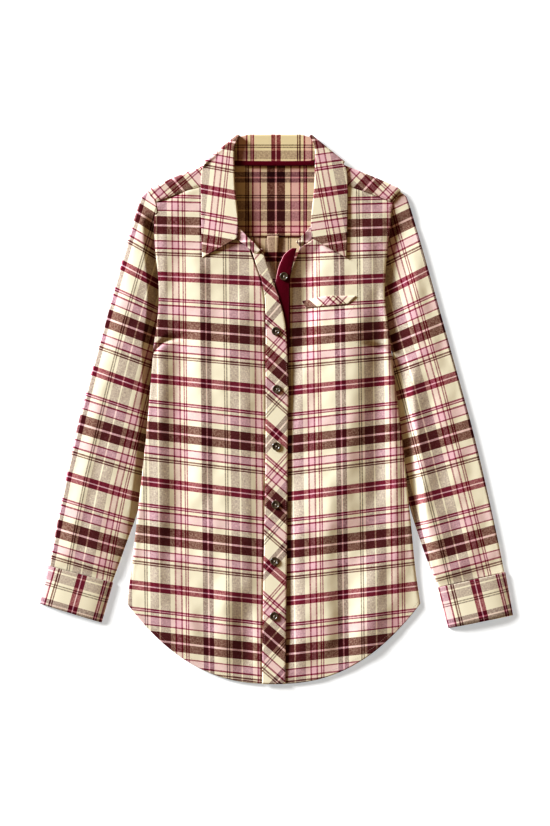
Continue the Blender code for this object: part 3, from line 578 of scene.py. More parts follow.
DARTS = (
    # x of the side seam and of the tip, then the line between them: its x and its y
    (-0.1760, -0.1200, (-0.1760, -0.1612, -0.1399, -0.1200), (0.0790, 0.0941, 0.0998, 0.1016)),
    (0.1650, 0.1120, (0.1120, 0.1441, 0.1550, 0.1650), (0.0930, 0.0870, 0.0838, 0.0785)),
)
DART_DEPTH = 0.0050
DART_WIDTH = 0.0038
DART_FULL = 0.3
SLOPE_Y = (-0.400, -0.272, -0.033, 0.108, 0.181, 0.257, 0.330)
WEFT_SLOPE = (0.115, 0.115, 0.115, 0.080, 0.050, 0.030, 0.030)
# shift of the warp and its lean, shift of the weft and the x that it slopes from
FRONT_GRAIN = {-1.0: (0.0523, 0.0096, -0.0394, -0.1086), 1.0: (-0.0220, 0.0117, -0.0422, 0.0959)}
NECK_SHARE = 0.57
NECK_TURN = 0.9
SEAM_LAP = 0.003
UNEVEN_BROAD = 0.00040
UNEVEN_FINE = 0.00018
HEM_STITCH_AT = 0.010
ARM_STITCH_IN = 0.0032


def uneven(x, y):
    """Slight unevenness of cloth laid by hand: a few crossing waves a few centimetres long."""
    broad = np.sin(134.0 * x + 37.0 * y + 1.3) * np.sin(76.0 * y - 21.0 * x + 0.4)
    fine = np.sin(217.0 * x - 57.0 * y + 2.0) * np.sin(31.0 * x + 143.0 * y)
    return UNEVEN_BROAD * broad + UNEVEN_FINE * fine


def folds(x, y, table, fade):
    """Sum of soft ridges and troughs: each runs along its line, bell-shaped across with a width of
    its own on either side, and dies away at both ends."""
    z = 0.0 * x
    for top_x, top_y, low_x, low_y, left, right, height in table:
        share = (top_y - y) / (top_y - low_y)
        across = x - mix(top_x, low_x, share)
        width = np.where(across < 0.0, left, right)
        ends = smooth((top_y + fade / 2.0 - y) / fade) * smooth((y - low_y + fade / 2.0) / fade)
        z = z + height * ends * np.exp(-(across / width) ** 2)
    return z


def front_z(x, y, sign):
    """Outer face of a front: a rolled edge at the side, a loft over the chest, folds that fan up
    from the hem, a dart's trough and a step down where the closing covers it."""
    inward = np.maximum(sign * (side_x(sign, y) - x), 0.0)
    edge_z = curve(SIDE_Z_Y, SIDE_Z, y)
    rolled = 1.0 - np.minimum(inward / SIDE_ROLL, 1.0)
    loft = curve(LOFT_Y, LOFT_Z, y)
    roll_z = SIDE_ROLL_Z * np.minimum((loft - edge_z) / SIDE_ROLL_LOFT, 1.0)
    z = edge_z + roll_z * np.sqrt(1.0 - rolled ** 2)
    z = z + np.maximum(loft - z, 0.0) * smooth(inward / SIDE_LOFT)
    from_closing = sign * (x - curve(*CLOSINGS[sign], y))
    free = smooth(inward / FOLD_EDGE) * smooth(from_closing / (2.0 * FOLD_EDGE))
    z = z + (folds(x, y, FRONT_FOLDS, FOLD_FADE) + uneven(x, y)) * free
    for dart_x, tip_x, line_x, line_y in DARTS:
        share = (x - dart_x) / (tip_x - dart_x)
        across = y - curve(line_x, line_y, x)
        reach = (1.0 - smooth((share - DART_FULL) / (1.0 - DART_FULL))) * smooth(share + 1.0)
        z = z - DART_DEPTH * reach * np.exp(-(across / DART_WIDTH) ** 2)
    above_hem = y - hem_y(x)
    z = mix(z, HEM_Z, HEM_FALL * (1.0 - smooth(above_hem / HEM_FALL_SPAN)))
    yoke_share = np.clip(inward / (SHOULDER_NECK_HALF - 0.01), 0.0, 1.0)
    seam_y = mix(YOKE_FRONT_ARM_Y, YOKE_FRONT_NECK_Y, yoke_share)
    z = z - YOKE_STEP * smooth(1.0 - (seam_y - y) / YOKE_STEP_SPAN)
    if sign < 0:
        return z - BAND_UNDER_RIGHT * smooth(1.0 - from_closing / BAND_UNDER_SPAN)
    near = 1.0 - smooth((from_closing - CLOSING_FLAT) / CLOSING_RAMP)
    trough = np.exp(-((from_closing - LEFT_TROUGH_AT) / LEFT_TROUGH_WIDTH) ** 2)
    by_neck = smooth((y - LEFT_TROUGH_Y) / LEFT_TROUGH_SPAN)
    dip = near * mix(*LEFT_CLOSING_DIP, by_neck) + trough * mix(*LEFT_CLOSING_TROUGH, by_neck)
    return z - dip * smooth(above_hem / LEFT_TROUGH_HEM)


def front_plan(sign, u, v):
    """Plan of a front: a patch blended between hem, side, closing and the yoke and neck seams."""
    hem_start = RIGHT_EDGE[0] if sign < 0 else LEFT_EDGE[0]
    closing = CLOSINGS[sign]
    hem_end = closing[1][0] - sign * CLOSING_TUCK
    top_y = YOKE_FRONT_ARM_Y + SEAM_LAP
    arm = stack(side_x(sign, top_y), top_y)

    def hem_line(t):
        x = mix(hem_start, hem_end, t)
        return stack(x, hem_y(x))

    def top_line(t):
        along = np.clip((t - NECK_SHARE) / (1.0 - NECK_SHARE), 0.0, 1.0)
        neck_x = COLLAR_MIDDLE + sign * even(NECK_HALF, along)
        neck = stack(neck_x, even(NECK_Y, along) + SEAM_LAP * (1.0 - along))
        start = stack(COLLAR_MIDDLE + sign * NECK_HALF[0], NECK_Y[0] + SEAM_LAP)
        share = np.clip(t / NECK_SHARE, 0.0, 1.0)[..., None]
        return np.where((t < NECK_SHARE)[..., None], mix(arm, start, share), neck)

    def side_line(t):
        y = mix(HEM_CORNER_Y, arm[1], t)
        return stack(side_x(sign, y), y)

    neck_end = top_line(np.array(1.0))
    hem_low = hem_line(np.array(1.0))[1]

    def closing_line(t):
        y = mix(hem_low, neck_end[1], t)
        by_neck = smooth((t - NECK_TURN) / (1.0 - NECK_TURN))
        x = curve(*closing, y) - sign * CLOSING_TUCK * (1.0 - by_neck)
        return stack(x + (neck_end[0] - curve(*closing, neck_end[1])) * by_neck, y)

    across, along = u[..., None], v[..., None]
    hem_corners = mix(hem_line(np.array(0.0)), hem_line(np.array(1.0)), across)
    corners = mix(hem_corners, mix(top_line(np.array(0.0)), neck_end, across), along)
    sides = mix(side_line(v), closing_line(v), across)
    return sides + mix(hem_line(u), top_line(u), along) - corners


def on_front(sign, x, y):
    """Points of a front's outer face."""
    return stack(x, y, front_z(x, y, sign))


def front_points(sign, u, v):
    """A front's plan with its heights."""
    plan = front_plan(sign, u, v)
    return on_front(sign, plan[..., 0], plan[..., 1])


def plaid_on_front(sign, x, y):
    """Place in the plaid: warp straight down, weft falling to the closing, more so lower down."""
    warp_shift, lean, weft_shift, slope_x = FRONT_GRAIN[sign]
    slope = curve(SLOPE_Y, WEFT_SLOPE, y)
    return stack(x + warp_shift + lean * y, weft_shift + sign * slope * (x - slope_x) - y)


u, v = grid(84, 260, crowd_u=0.6, crowd_v=0.3)
fronts = {}
for name, sign, area in (("right", -1.0, 0.1068), ("left", 1.0, 0.1036)):
    points = front_points(sign, u, v)
    cut = plaid_on_front(sign, points[..., 0], points[..., 1])
    fronts[name] = cloth(f"front_{name}_cloth", points, cut, FLANNEL_WALL, flannel)
    dress(fronts[name], f"front_{name}", area)
    hem_u = np.linspace(0.01, 0.985, 240)
    hem_row = front_points(sign, *np.broadcast_arrays(hem_u, HEM_STITCH_AT))
    arm_y = np.linspace(0.098, 0.288, 160)
    arm_row = on_front(sign, side_x(sign, arm_y) - sign * ARM_STITCH_IN, arm_y)
    dart_x, tip_x, line_x, line_y = DARTS[int(sign > 0)]
    sewn_x = np.linspace(dart_x - sign * 0.004, tip_x, 60)
    dart_row = on_front(sign, sewn_x, curve(line_x, line_y, sewn_x))
    sew(f"front_{name}_stitching", [hem_row, arm_row, dart_row], beige_thread)


# ---- button facing
# A plain burgundy cotton band, folded double and sewn to the left front's edge. It carries the
# buttons, and shows only where the neck stands open.

FACING_EDGE = (-0.0150, -0.0150, -0.0150, -0.0135, -0.0115, -0.0060, -0.0015, 0.0060, 0.0140,
               0.0215)
FACING_WALL = 0.0014
FACING_Z_Y = (-0.391, -0.300, -0.159, 0.060, 0.154, 0.2265)
FACING_Z = (0.0034, 0.0054, 0.0072, 0.0092, 0.0104, 0.0106)
BURGUNDY_DYE = (0.100, 0.000, 0.010, 1.0)
BURGUNDY_WORN = (0.190, 0.002, 0.026, 1.0)
# painted highlight: a pale pink line along the facing's folded edge, where it catches the light
FOLD_HIGHLIGHT_PINK = (0.700, 0.340, 0.360, 1.0)
FOLD_HIGHLIGHT_WIDTH = 0.0010
WEAVE_SCALE = 9000.0
FACING_Y = (-0.3900, 0.2265)
FACING_CROWN = 0.0006
FACING_EDGE_DIP = 0.0012


def burgundy_finish():
    """Plain weave: two crossed waves for the yarns, with a slow change of the dye, and a painted
    highlight of pale pink along a folded edge, where the first coordinate of the cut starts."""
    material, tree, shader = new_finish("burgundy_cotton", Roughness=0.9, Sheen_Weight=0.02,
                                        Specular_IOR_Level=0.12)
    cut = tree.add("UVMap", {"uv_map": "cut"})
    parts = cut.add("SeparateXYZ", {}, {0: cut})
    weave = cut.math("SINE", parts * WEAVE_SCALE) * cut.math("SINE", parts.output(1) * WEAVE_SCALE)
    dye = cut.add("TexNoise", {}, {"Vector": cut, "Scale": 160.0, "Detail": 4.0})
    worn = (dye * 0.6 + weave * 0.12).blend(BURGUNDY_DYE, BURGUNDY_WORN)
    # painted highlight along the folded edge
    edge = cut.math("LESS_THAN", parts + dye * 0.0006, FOLD_HIGHLIGHT_WIDTH)
    relief = cut.add("Bump", {}, {"Strength": 0.30, "Distance": 0.0003, "Height": weave + dye})
    feed(shader, Base_Color=edge.blend(worn, FOLD_HIGHLIGHT_PINK), Roughness=0.75 + dye * 0.2, Normal=relief)
    return material


def band_points(keys, seam, edge, heights, ends_y, u, v):
    """Band along the closing: rows from hem to neck, columns from its seam to its free edge."""
    y = mix(*ends_y, v)
    x = mix(curve(keys, seam, y), curve(keys, edge, y), u)
    settle = (hem_y(x) - ends_y[0]) * (1.0 - smooth(v / 0.1))
    return stack(x, y + settle, curve(*heights, y))


burgundy = burgundy_finish()
u, v = grid(14, 200)
points = band_points(LEFT_SEAM_Y, LEFT_SEAM, FACING_EDGE, (FACING_Z_Y, FACING_Z), FACING_Y, u, v)
facing_roll = np.sin(np.pi * np.clip(u, 0.02, 0.98))
points[..., 2] += FACING_CROWN * facing_roll - FACING_EDGE_DIP * smooth((u - 0.85) / 0.15)
y = points[..., 1]
facing_width = abs(curve(LEFT_SEAM_Y, LEFT_SEAM, y) - curve(LEFT_SEAM_Y, FACING_EDGE, y))
cut = stack((1.0 - u) * facing_width, y)
facing = cloth("placket_facing_cloth", points, cut, FACING_WALL, burgundy)
dress(facing, "placket_facing", 0.0153)
burgundy_thread = thread_finish("burgundy_thread", (0.06, 0.0, 0.008, 1.0), (0.20, 0.01, 0.04, 1.0))
sew("facing_stitching", [points[120:-2, -3], points[120:-2, 1]], burgundy_thread)


# ---- placket band
# A flannel band cut on the bias, folded double and topstitched along both edges, sewn to the right
# front. It laps over the facing and carries the buttonholes.

PLACKET_EDGE = (0.0130, 0.0140, 0.0155, 0.0160, 0.0160, 0.0110, 0.0045, -0.0055, -0.0135, -0.0200)
PLACKET_WALL = 0.0014
PLACKET_Z_Y = (-0.391, -0.300, -0.159, 0.060, 0.154, 0.190, 0.226)
PLACKET_Z = (0.0060, 0.0080, 0.0099, 0.0118, 0.0126, 0.0124, 0.0118)
BIAS_TURN = -41.0
BIAS_ORIGIN = (-0.0007, 0.0614)
BIAS_START = (0.0178, 0.0)
PLACKET_Y = (-0.3905, 0.226)
PLACKET_CROWN = 0.0007
PLACKET_SINK = 0.0004
PLACKET_STITCH_AT = (0.075, 0.925)


def placket_points(u, v):
    """Placket band, a little crowned between its two stitched edges."""
    heights = (PLACKET_Z_Y, PLACKET_Z)
    points = band_points(CLOSING_Y, RIGHT_SEAM, PLACKET_EDGE, heights, PLACKET_Y, u, v)
    crown = np.sqrt(np.clip(1.0 - (2.0 * u - 1.0) ** 6, 0.0, 1.0))
    points[..., 2] += PLACKET_CROWN * crown - PLACKET_SINK
    return points


u, v = grid(20, 260, crowd_u=0.5)
points = placket_points(u, v)
cut = grain(points, BIAS_ORIGIN, BIAS_TURN, warp_sign=-1.0, start=BIAS_START)
placket = cloth("placket_band_cloth", points, cut, PLACKET_WALL, flannel)
dress(placket, "placket_band", 0.0185)
seam_v = np.linspace(0.002, 0.998, 300)
placket_rows = [row_on(placket_points, at, seam_v) for at in PLACKET_STITCH_AT]
sew("placket_stitching", placket_rows, beige_thread)


# ---- collar stand
# A flannel band sewn into the neck seam. It stands up from the fronts and lies folded back on
# itself at the shoulders; the collar leaf is sewn to its top edge.

STAND_ROWS = (
    # half width and y of the fold, then of the neck seam, from the shoulder to the front end
    (0.0537, 0.0605, 0.0602, 0.0590, 0.0560, 0.0530, 0.0420, 0.0310, 0.0192),
    (0.3840, 0.3665, 0.3380, 0.3100, 0.2820, 0.2610, 0.2470, 0.2360, 0.2235),
    (0.0800, 0.0845, 0.0863, 0.0833, 0.0753, 0.0623, 0.0497, 0.0380, 0.0262),
    (0.3575, 0.3430, 0.3200, 0.2930, 0.2680, 0.2480, 0.2370, 0.2276, 0.2165),
)
STAND_BACK_Y = (0.3880, 0.3478)
STAND_Z = (0.0046, 0.0108)
STAND_WALL = 0.0012
STAND_LEFT_END = 0.88
STAND_CRUMPLE = 0.0007
STAND_TILT = 0.0010
STAND_END_LIFT = 0.0020
STAND_END_FROM = 0.70
STAND_END_EASE = 0.12
# painted shade for the back of the stand behind the neck, lighter than the yoke's inside
STAND_SHADE_TINT = (0.90, 0.83, 0.70, 1.0)
STAND_SHADE_GAMMA = 1.8
COLLAR_FRONT_SHARE = 0.30
COLLAR_CREASE_SHARE = 0.40


def collar_place(rows, back_y, heights, u, across, left_end=1.0):
    """Strip round the neck: over the fronts, half a turn round the shoulder crease and under the
    back; its left end stops at the share left_end. Gives the points, the way down across the strip,
    the way out of it and the share of the way along the front."""
    fold_half, fold_y, edge_half, edge_y = rows
    under_z, over_z = heights
    sign = np.where(u < 0.5, -1.0, 1.0)
    inward = np.minimum(u, 1.0 - u)
    along = np.maximum(1.0 - inward / COLLAR_FRONT_SHARE, 0.0) * np.where(sign < 0, 1.0, left_end)
    fold = stack(even(fold_half, along), even(fold_y, along))
    edge = stack(even(edge_half, along), even(edge_y, along))
    crease_span = COLLAR_CREASE_SHARE - COLLAR_FRONT_SHARE
    turn = np.clip((inward - COLLAR_FRONT_SHARE) / crease_span, 0.0, 1.0) * np.pi
    behind = np.maximum(inward - COLLAR_CREASE_SHARE, 0.0) / (0.5 - COLLAR_CREASE_SHARE)
    fold[..., 1] += (back_y[0] - fold[..., 1]) * smooth(3.0 * behind)
    edge[..., 1] += (back_y[1] - edge[..., 1]) * smooth(2.0 * behind)
    fold[..., 0] *= 1.0 - behind
    edge[..., 0] *= 1.0 - behind
    crease = edge - fold
    down = crease / np.linalg.norm(crease, axis=-1, keepdims=True)
    radius = (over_z - under_z) / 2.0
    out_plan = np.sin(turn)[..., None] * stack(-down[..., 1], down[..., 0])
    plan = fold + crease * across[..., None] + 0.6 * radius * out_plan
    z = (over_z + under_z) / 2.0 + radius * np.cos(turn)
    points = stack(COLLAR_MIDDLE + sign * plan[..., 0], plan[..., 1], z)
    down = stack(sign * down[..., 0], down[..., 1], 0.0)
    out = stack(sign * out_plan[..., 0], out_plan[..., 1], np.cos(turn))
    return points, down, out, along


u, v = grid(300, 20)
points, down, out, along = collar_place(STAND_ROWS, STAND_BACK_Y, STAND_Z, u, v, STAND_LEFT_END)
points[..., 2] += STAND_TILT * (1.0 - v) * (along > 0.0)
crumple = np.sin(44.0 * along + 5.0 * v) + 0.6 * np.sin(27.0 * along - 6.0 * v + 1.0)
at_ends = smooth((along - STAND_END_FROM) / STAND_END_EASE)
points[..., 2] += (STAND_END_LIFT + STAND_CRUMPLE * crumple) * at_ends
cut = grain(points, (-0.0005, 0.3521), 90.0, warp_sign=-1.0, weft_sign=-1.0, start=(0.0, 0.0731))
# copy of the plaid darkened with painted shade, for the stand's back behind the neck
stand_painted_shade = plaid_finish("flannel_plaid_stand_painted_shade", STAND_SHADE_TINT, STAND_SHADE_GAMMA)
behind_neck = abs(cell_middles(u) - 0.5) < 0.5 - COLLAR_CREASE_SHARE
stand = cloth("collar_stand_cloth", points, cut, STAND_WALL, flannel, up_at=(0.05, 0.5),
              inside=behind_neck, painted_shade_finish=stand_painted_shade)
dress(stand, "collar_stand", 0.0109)


# ---- collar leaf
# The fall of the collar: flannel folded double, its edge topstitched, sewn to the stand and turned
# down over it. It rests on the yoke and the fronts, with points at both front ends.

LEAF_ROWS = (
    # half width and y of the fold, then of the edge, from the shoulder to the point
    (0.0510, 0.0580, 0.0585, 0.0575, 0.0545, 0.0525, 0.0535),
    (0.3842, 0.3675, 0.3380, 0.3100, 0.2820, 0.2600, 0.2400),
    (0.0975, 0.1030, 0.1040, 0.1040, 0.1035, 0.1030, 0.1020),
    (0.3465, 0.3350, 0.3120, 0.2880, 0.2620, 0.2360, 0.2130),
)
LEAF_BACK_Y = (0.3860, 0.3495)
LEAF_Z = (0.0002, 0.0130)
LEAF_WALL = 0.0018
LEAF_ROLL_SHARE = 0.25
# pairs of values are for the right side, then for the left one
LEAF_ROLL = (0.0024, 0.0015)
LEAF_ROLL_TURN = np.radians(140.0)
LEAF_END_TURN = np.radians(35.0)
LEAF_LIFT = (0.0008, 0.0010)
LEAF_FALL = (0.0034, 0.0020)
LEAF_CROWN = 0.0005
LEAF_FLAT_FROM = 0.55
LEAF_FLAT_EASE = 0.25
LEAF_STITCH_AT = 0.925
LEAF_END_STITCH_AT = (0.012, 0.988)


def leaf_points(u, v):
    """Leaf: from a roll over the top of the stand out to its edge, settling as it goes out."""
    across = np.maximum(v - LEAF_ROLL_SHARE, 0.0) / (1.0 - LEAF_ROLL_SHARE)
    points, down, out, along = collar_place(LEAF_ROWS, LEAF_BACK_Y, LEAF_Z, u, across)
    rolled = np.clip(1.0 - v / LEAF_ROLL_SHARE, 0.0, 1.0)
    flat = smooth((along - LEAF_FLAT_FROM) / LEAF_FLAT_EASE)
    turn = rolled * mix(LEAF_ROLL_TURN, LEAF_END_TURN, flat)
    roll = mix(*LEAF_ROLL, smooth((u - 0.5) / 0.2))
    points = points - down * (roll * np.sin(turn))[..., None]
    points = points - out * (roll * (1.0 - np.cos(turn)))[..., None]
    over_front = smooth(along * 6.0)
    lift, outward = (np.where(u < 0.5, *pair) for pair in (LEAF_LIFT, LEAF_FALL))
    points[..., 2] += over_front * (lift + LEAF_CROWN * np.sin(np.pi * across) - outward * across)
    return points


u, v = grid(320, 40)
points = leaf_points(u, v)
right_cut = grain(points, (-0.1015, 0.2332), -11.0)
right_warp = grain(points, (-0.0893, 0.3115), -6.0, start=(0.0227, 0.0))
right_cut[..., 0] = right_warp[..., 0]
left_cut = grain(points, (0.0760, 0.2326), 8.5, warp_sign=-1.0, weft_sign=-1.0)
left_warp = grain(points, (0.0760, 0.2340), 11.0, warp_sign=-1.0, start=(0.0392, 0.0))
left_cut[..., 0] = left_warp[..., 0]
cut = np.where((u < 0.5)[..., None], right_cut, left_cut)
leaf = cloth("collar_leaf_cloth", points, cut, LEAF_WALL, flannel, up_at=(0.05, 0.7))
dress(leaf, "collar_leaf", 0.0201)
edge_u = np.linspace(0.012, COLLAR_FRONT_SHARE - 0.02, 200)
end_v = np.linspace(0.34, 0.92, 60)
leaf_rows = [row_on(leaf_points, at, LEAF_STITCH_AT) for at in (edge_u, 1.0 - edge_u)]
leaf_rows += [row_on(leaf_points, at, end_v) for at in LEAF_END_STITCH_AT]
sew("collar_stitching", leaf_rows, beige_thread)


# ---- neck tape
# A narrow plain burgundy cotton tape. It is stitched down along both edges over the inside of the
# back neck seam, and its ends go under the two sides of the collar.

TAPE_HALF = 0.0575
TAPE_LOW_Y = 0.3435
TAPE_HIGH_Y = 0.3500
TAPE_Z = 0.0066
TAPE_WALL = 0.0007
TAPE_BOW = 0.0006
TAPE_CROWN = 0.0003

u, v = grid(60, 8)
x = COLLAR_MIDDLE + TAPE_HALF * (2.0 * u - 1.0)
y = mix(TAPE_LOW_Y, TAPE_HIGH_Y, v) + TAPE_BOW * (2.0 * u - 1.0) ** 2
points = stack(x, y, TAPE_Z + TAPE_CROWN * np.sin(np.pi * v))
# the cut starts far from 0, so the tape gets no painted highlight along an edge
tape = cloth("neck_tape_cloth", points, points[..., :2] + 1.0, TAPE_WALL, burgundy)
dress(tape, "neck_tape", 0.00075)
sew("tape_stitching", [points[1, 1:-1], points[-2, 1:-1]], burgundy_thread)


# ---- sleeves
# Each is one cut of flannel closed into a tube by the underarm seam, set into the armhole and
# gathered into its cuff. They lie beside the body, tucked a little under its side edges.

SLEEVE_RIGHT = np.array((
    # outer x and y, inner x and y, from the armhole to the cuff seam
    (-0.1860, 0.3110, -0.1765, 0.0930),
    (-0.1965, 0.2850, -0.1772, 0.0860),
    (-0.2120, 0.2350, -0.1780, 0.0770),
    (-0.2290, 0.1720, -0.1774, 0.0670),
    (-0.2460, 0.1080, -0.1786, 0.0550),
    (-0.2640, 0.0450, -0.1814, 0.0220),
    (-0.2820, -0.0240, -0.1876, -0.0490),
    (-0.2985, -0.0990, -0.1966, -0.1300),
    (-0.3130, -0.1730, -0.2180, -0.2030),
    (-0.3225, -0.2245, -0.2335, -0.2480),
))
SLEEVE_LEFT = np.array((
    (0.1810, 0.3090, 0.1670, 0.0900),
    (0.1890, 0.2870, 0.1680, 0.0840),
    (0.2030, 0.2400, 0.1690, 0.0760),
    (0.2200, 0.1800, 0.1668, 0.0670),
    (0.2385, 0.1140, 0.1682, 0.0550),
    (0.2565, 0.0490, 0.1722, 0.0220),
    (0.2755, -0.0200, 0.1808, -0.0480),
    (0.2935, -0.0940, 0.1888, -0.1240),
    (0.3115, -0.1750, 0.2105, -0.2040),
    (0.3235, -0.2340, 0.2300, -0.2550),
))
INNER_TUCK = (0.0040, 0.0040, 0.0042, 0.0042, 0.0042, 0.0042, 0.0042, 0.0036, 0.0008, 0.0)
SLEEVE_OUTER_Z = 0.0052
SLEEVE_INNER_Z = 0.0064
# pairs of values are for the right sleeve, then for the left one
SLEEVE_BULGE = (0.0058, 0.0022)
BULGE_LOSS = (0.45, 0.20)
CREST_SKEW = (1.0, 1.6)
CREST_FLAT = (3.5, 2.2)
SLEEVE_LOW_Z = 0.0012
ARMHOLE_FADE = 0.30
CAP_FADE = 0.06
ARMHOLE_TUCK = 0.0030
TROUGH_FLOOR = (0.003, 0.010)
TROUGH_WIDTH = (0.014, 0.038)
TROUGH_NARROWING = (0.45, 0.62)
CAP_TROUGH_Y = 0.257
CAP_TROUGH_SPAN = 0.022
SLEEVE_FOLD_FADE = 0.16
SLEEVE_FOLD_EDGE = 0.12
SLEEVE_END_Z = 0.0046
SLEEVE_END_LOSS = 0.35
ELBOW_AT = 0.35
ELBOW_SPAN = 0.30
ELBOW_TROUGH_Y = 0.10
ELBOW_TROUGH_SPAN = 0.08
RIGHT_SLEEVE_FOLDS = (
    # place across and along at the top, then at the bottom, widths, height or depth
    (0.55, -0.35, 0.52, -0.92, 0.16, 0.14, 0.0006),
    (0.20, -0.55, 0.26, -0.95, 0.10, 0.08, 0.0008),
)
LEFT_SLEEVE_FOLDS = (
    (0.78, -0.48, 0.85, -0.92, 0.10, 0.10, 0.0018),
    (0.50, -0.48, 0.56, -0.92, 0.12, 0.12, -0.0014),
    (0.24, -0.20, 0.28, -0.92, 0.10, 0.10, 0.0006),
)
TUBE_SHARES = (0.44, 0.50, 0.94)
SLEEVE_WEFT = (-0.5, 0.0, 0.49, 1.0, 1.49, 2.0, 2.49, 3.0, 3.5)
# outer edge points that each of those repeats of the weft starts from, and its slope in degrees
RIGHT_WEFT = np.array((
    (-0.1770, 0.3520, 36.0), (-0.1981, 0.2787, 32.0), (-0.2201, 0.2041, 28.0),
    (-0.2421, 0.1281, 20.5), (-0.2613, 0.0543, 19.4), (-0.2797, -0.0217, 16.6),
    (-0.2975, -0.0955, 16.7), (-0.3124, -0.1701, 16.4), (-0.3264, -0.2440, 16.0),
))
LEFT_WEFT = np.array((
    (0.1730, 0.3460, 24.0), (0.1938, 0.2716, 25.0), (0.2151, 0.1963, 27.0),
    (0.2364, 0.1211, 22.0), (0.2577, 0.0472, 18.4), (0.2770, -0.0280, 17.0),
    (0.2961, -0.1033, 15.0), (0.3145, -0.1772, 15.2), (0.3320, -0.2500, 15.0),
))


def tube_sections(table, v):
    """Outer and inner folded edges of a tube at v."""
    outer_x, outer_y, inner_x, inner_y = (even(column, v) for column in table.T)
    return stack(outer_x, outer_y), stack(inner_x, inner_y)


def tube_across(u, width, outer_z, inner_z):
    """Way across a flattened tube: over the top, round the inner fold, back underneath and round
    the outer fold. Gives the distance from the outer edge, the turn of the folds and the place."""
    top, inner, under = TUBE_SHARES
    start, end = outer_z / 2.0, width - inner_z / 2.0
    over = np.clip(u / top, 0.0, 1.0)
    inner_turn = np.clip((u - top) / (inner - top), 0.0, 1.0) * np.pi
    back = np.clip((u - inner) / (under - inner), 0.0, 1.0)
    outer_turn = np.clip((u - under) / (1.0 - under), 0.0, 1.0) * np.pi
    along = mix(start, end, over - back)
    along = along + inner_z / 2.0 * np.sin(inner_turn) - outer_z / 2.0 * np.sin(outer_turn)
    lower = np.where(u > under, (1.0 - np.cos(outer_turn)) / 2.0, (1.0 + np.cos(inner_turn)) / 2.0)
    return along, np.where(u > under, 0.0, over), lower


def sleeve_points(table, sleeve_folds, sign, u, v):
    """Sleeve: a flattened tube whose first ring follows the armhole; its top swells between the
    folds and sinks into a trough beside the body."""
    side = int(sign > 0)
    outer, inner = tube_sections(table, v)
    inner[..., 0] -= sign * even(INNER_TUCK, v)
    width = np.linalg.norm(inner - outer, axis=-1)
    outer_z = SLEEVE_OUTER_Z * (1.0 - SLEEVE_END_LOSS * smooth((v - 0.93) / 0.07))
    along, over, lower = tube_across(u, width, outer_z, SLEEVE_INNER_Z)
    plan = mix(outer, inner, (along / width)[..., None])
    down = np.clip(along / width, 0.0, 1.0)
    fade = mix(CAP_FADE, ARMHOLE_FADE, smooth(down / 0.3))
    follow = (1.0 - np.minimum(v / fade, 1.0)) ** 2
    seam_y = mix(outer[..., 1], inner[..., 1], down)
    y = plan[..., 1]
    x = mix(plan[..., 0], side_x(sign, seam_y) - sign * ARMHOLE_TUCK, follow)
    swell = 1.0 - abs(2.0 * over ** CREST_SKEW[side] - 1.0) ** CREST_FLAT[side]
    bulge = SLEEVE_BULGE[side] * (1.0 - BULGE_LOSS[side] * smooth((v - ELBOW_AT) / ELBOW_SPAN))
    top = mix(outer_z, SLEEVE_INNER_Z, smooth(over)) + bulge * swell
    free = smooth(over / SLEEVE_FOLD_EDGE) * smooth((1.0 - over) / SLEEVE_FOLD_EDGE)
    top = top + (folds(over, -v, sleeve_folds, SLEEVE_FOLD_FADE) + uneven(x, y)) * free
    apart = np.maximum(sign * (x - side_x(sign, y)), 0.0)
    narrowing = TROUGH_NARROWING[side] * smooth((ELBOW_TROUGH_Y - y) / ELBOW_TROUGH_SPAN)
    trough_width = TROUGH_WIDTH[side] * (1.0 - narrowing)
    trough = smooth((apart - TROUGH_FLOOR[side]) / trough_width)
    trough = mix(trough, 1.0, smooth((y - CAP_TROUGH_Y) / CAP_TROUGH_SPAN))
    top = mix(SLEEVE_LOW_Z, top, trough)
    top = mix(top, SLEEVE_END_Z, smooth((v - 0.955) / 0.045))
    return stack(x, y, mix(FLOOR_GAP, np.maximum(top, SLEEVE_LOW_Z), lower))


def sleeve_cut(weft_table, u, x, y, start, sign):
    """Place in the plaid: the repeat of the weft whose sloped line passes the point is found by
    stepping down the outer edge, and the warp is the distance from that edge."""
    repeat = np.full_like(x, 1.5)
    edge_rate = np.gradient(weft_table[:, 1], SLEEVE_WEFT)
    for step in range(12):
        edge_x = np.interp(repeat, SLEEVE_WEFT, weft_table[:, 0])
        edge_y = np.interp(repeat, SLEEVE_WEFT, weft_table[:, 1])
        slope = np.tan(np.radians(np.interp(repeat, SLEEVE_WEFT, weft_table[:, 2])))
        miss = y - edge_y + slope * abs(x - edge_x)
        repeat = np.clip(repeat + 0.8 * miss / np.interp(repeat, SLEEVE_WEFT, edge_rate), -0.6, 4.2)
    distance = abs(x - edge_x) * np.sqrt(1.0 + slope ** 2)
    under = (u > TUBE_SHARES[1]) & (u < TUBE_SHARES[2])
    distance = np.where(under, -distance, distance)
    return stack(start - sign * distance, repeat * sett_repeat(WEFT_SETT))


u, v = grid(110, 190)
sleeves = {}
for name, sign, table, sleeve_folds, weft_table, start, area in (
        ("right", -1.0, SLEEVE_RIGHT, RIGHT_SLEEVE_FOLDS, RIGHT_WEFT, -0.0469, 0.0840),
        ("left", 1.0, SLEEVE_LEFT, LEFT_SLEEVE_FOLDS, LEFT_WEFT, 0.0646, 0.0880)):
    points = sleeve_points(table, sleeve_folds, sign, u, v)
    cut = sleeve_cut(weft_table, u, points[..., 0], points[..., 1], start, sign)
    sleeves[name] = cloth(f"sleeve_{name}_cloth", points, cut, FLANNEL_WALL, flannel,
                          up_at=(0.2, 0.5), closed=True)
    dress(sleeves[name], f"sleeve_{name}", area)


# ---- cuffs
# Flannel bands cut across the grain, folded double and closed into a ring over the sleeve's end,
# topstitched along both edges.

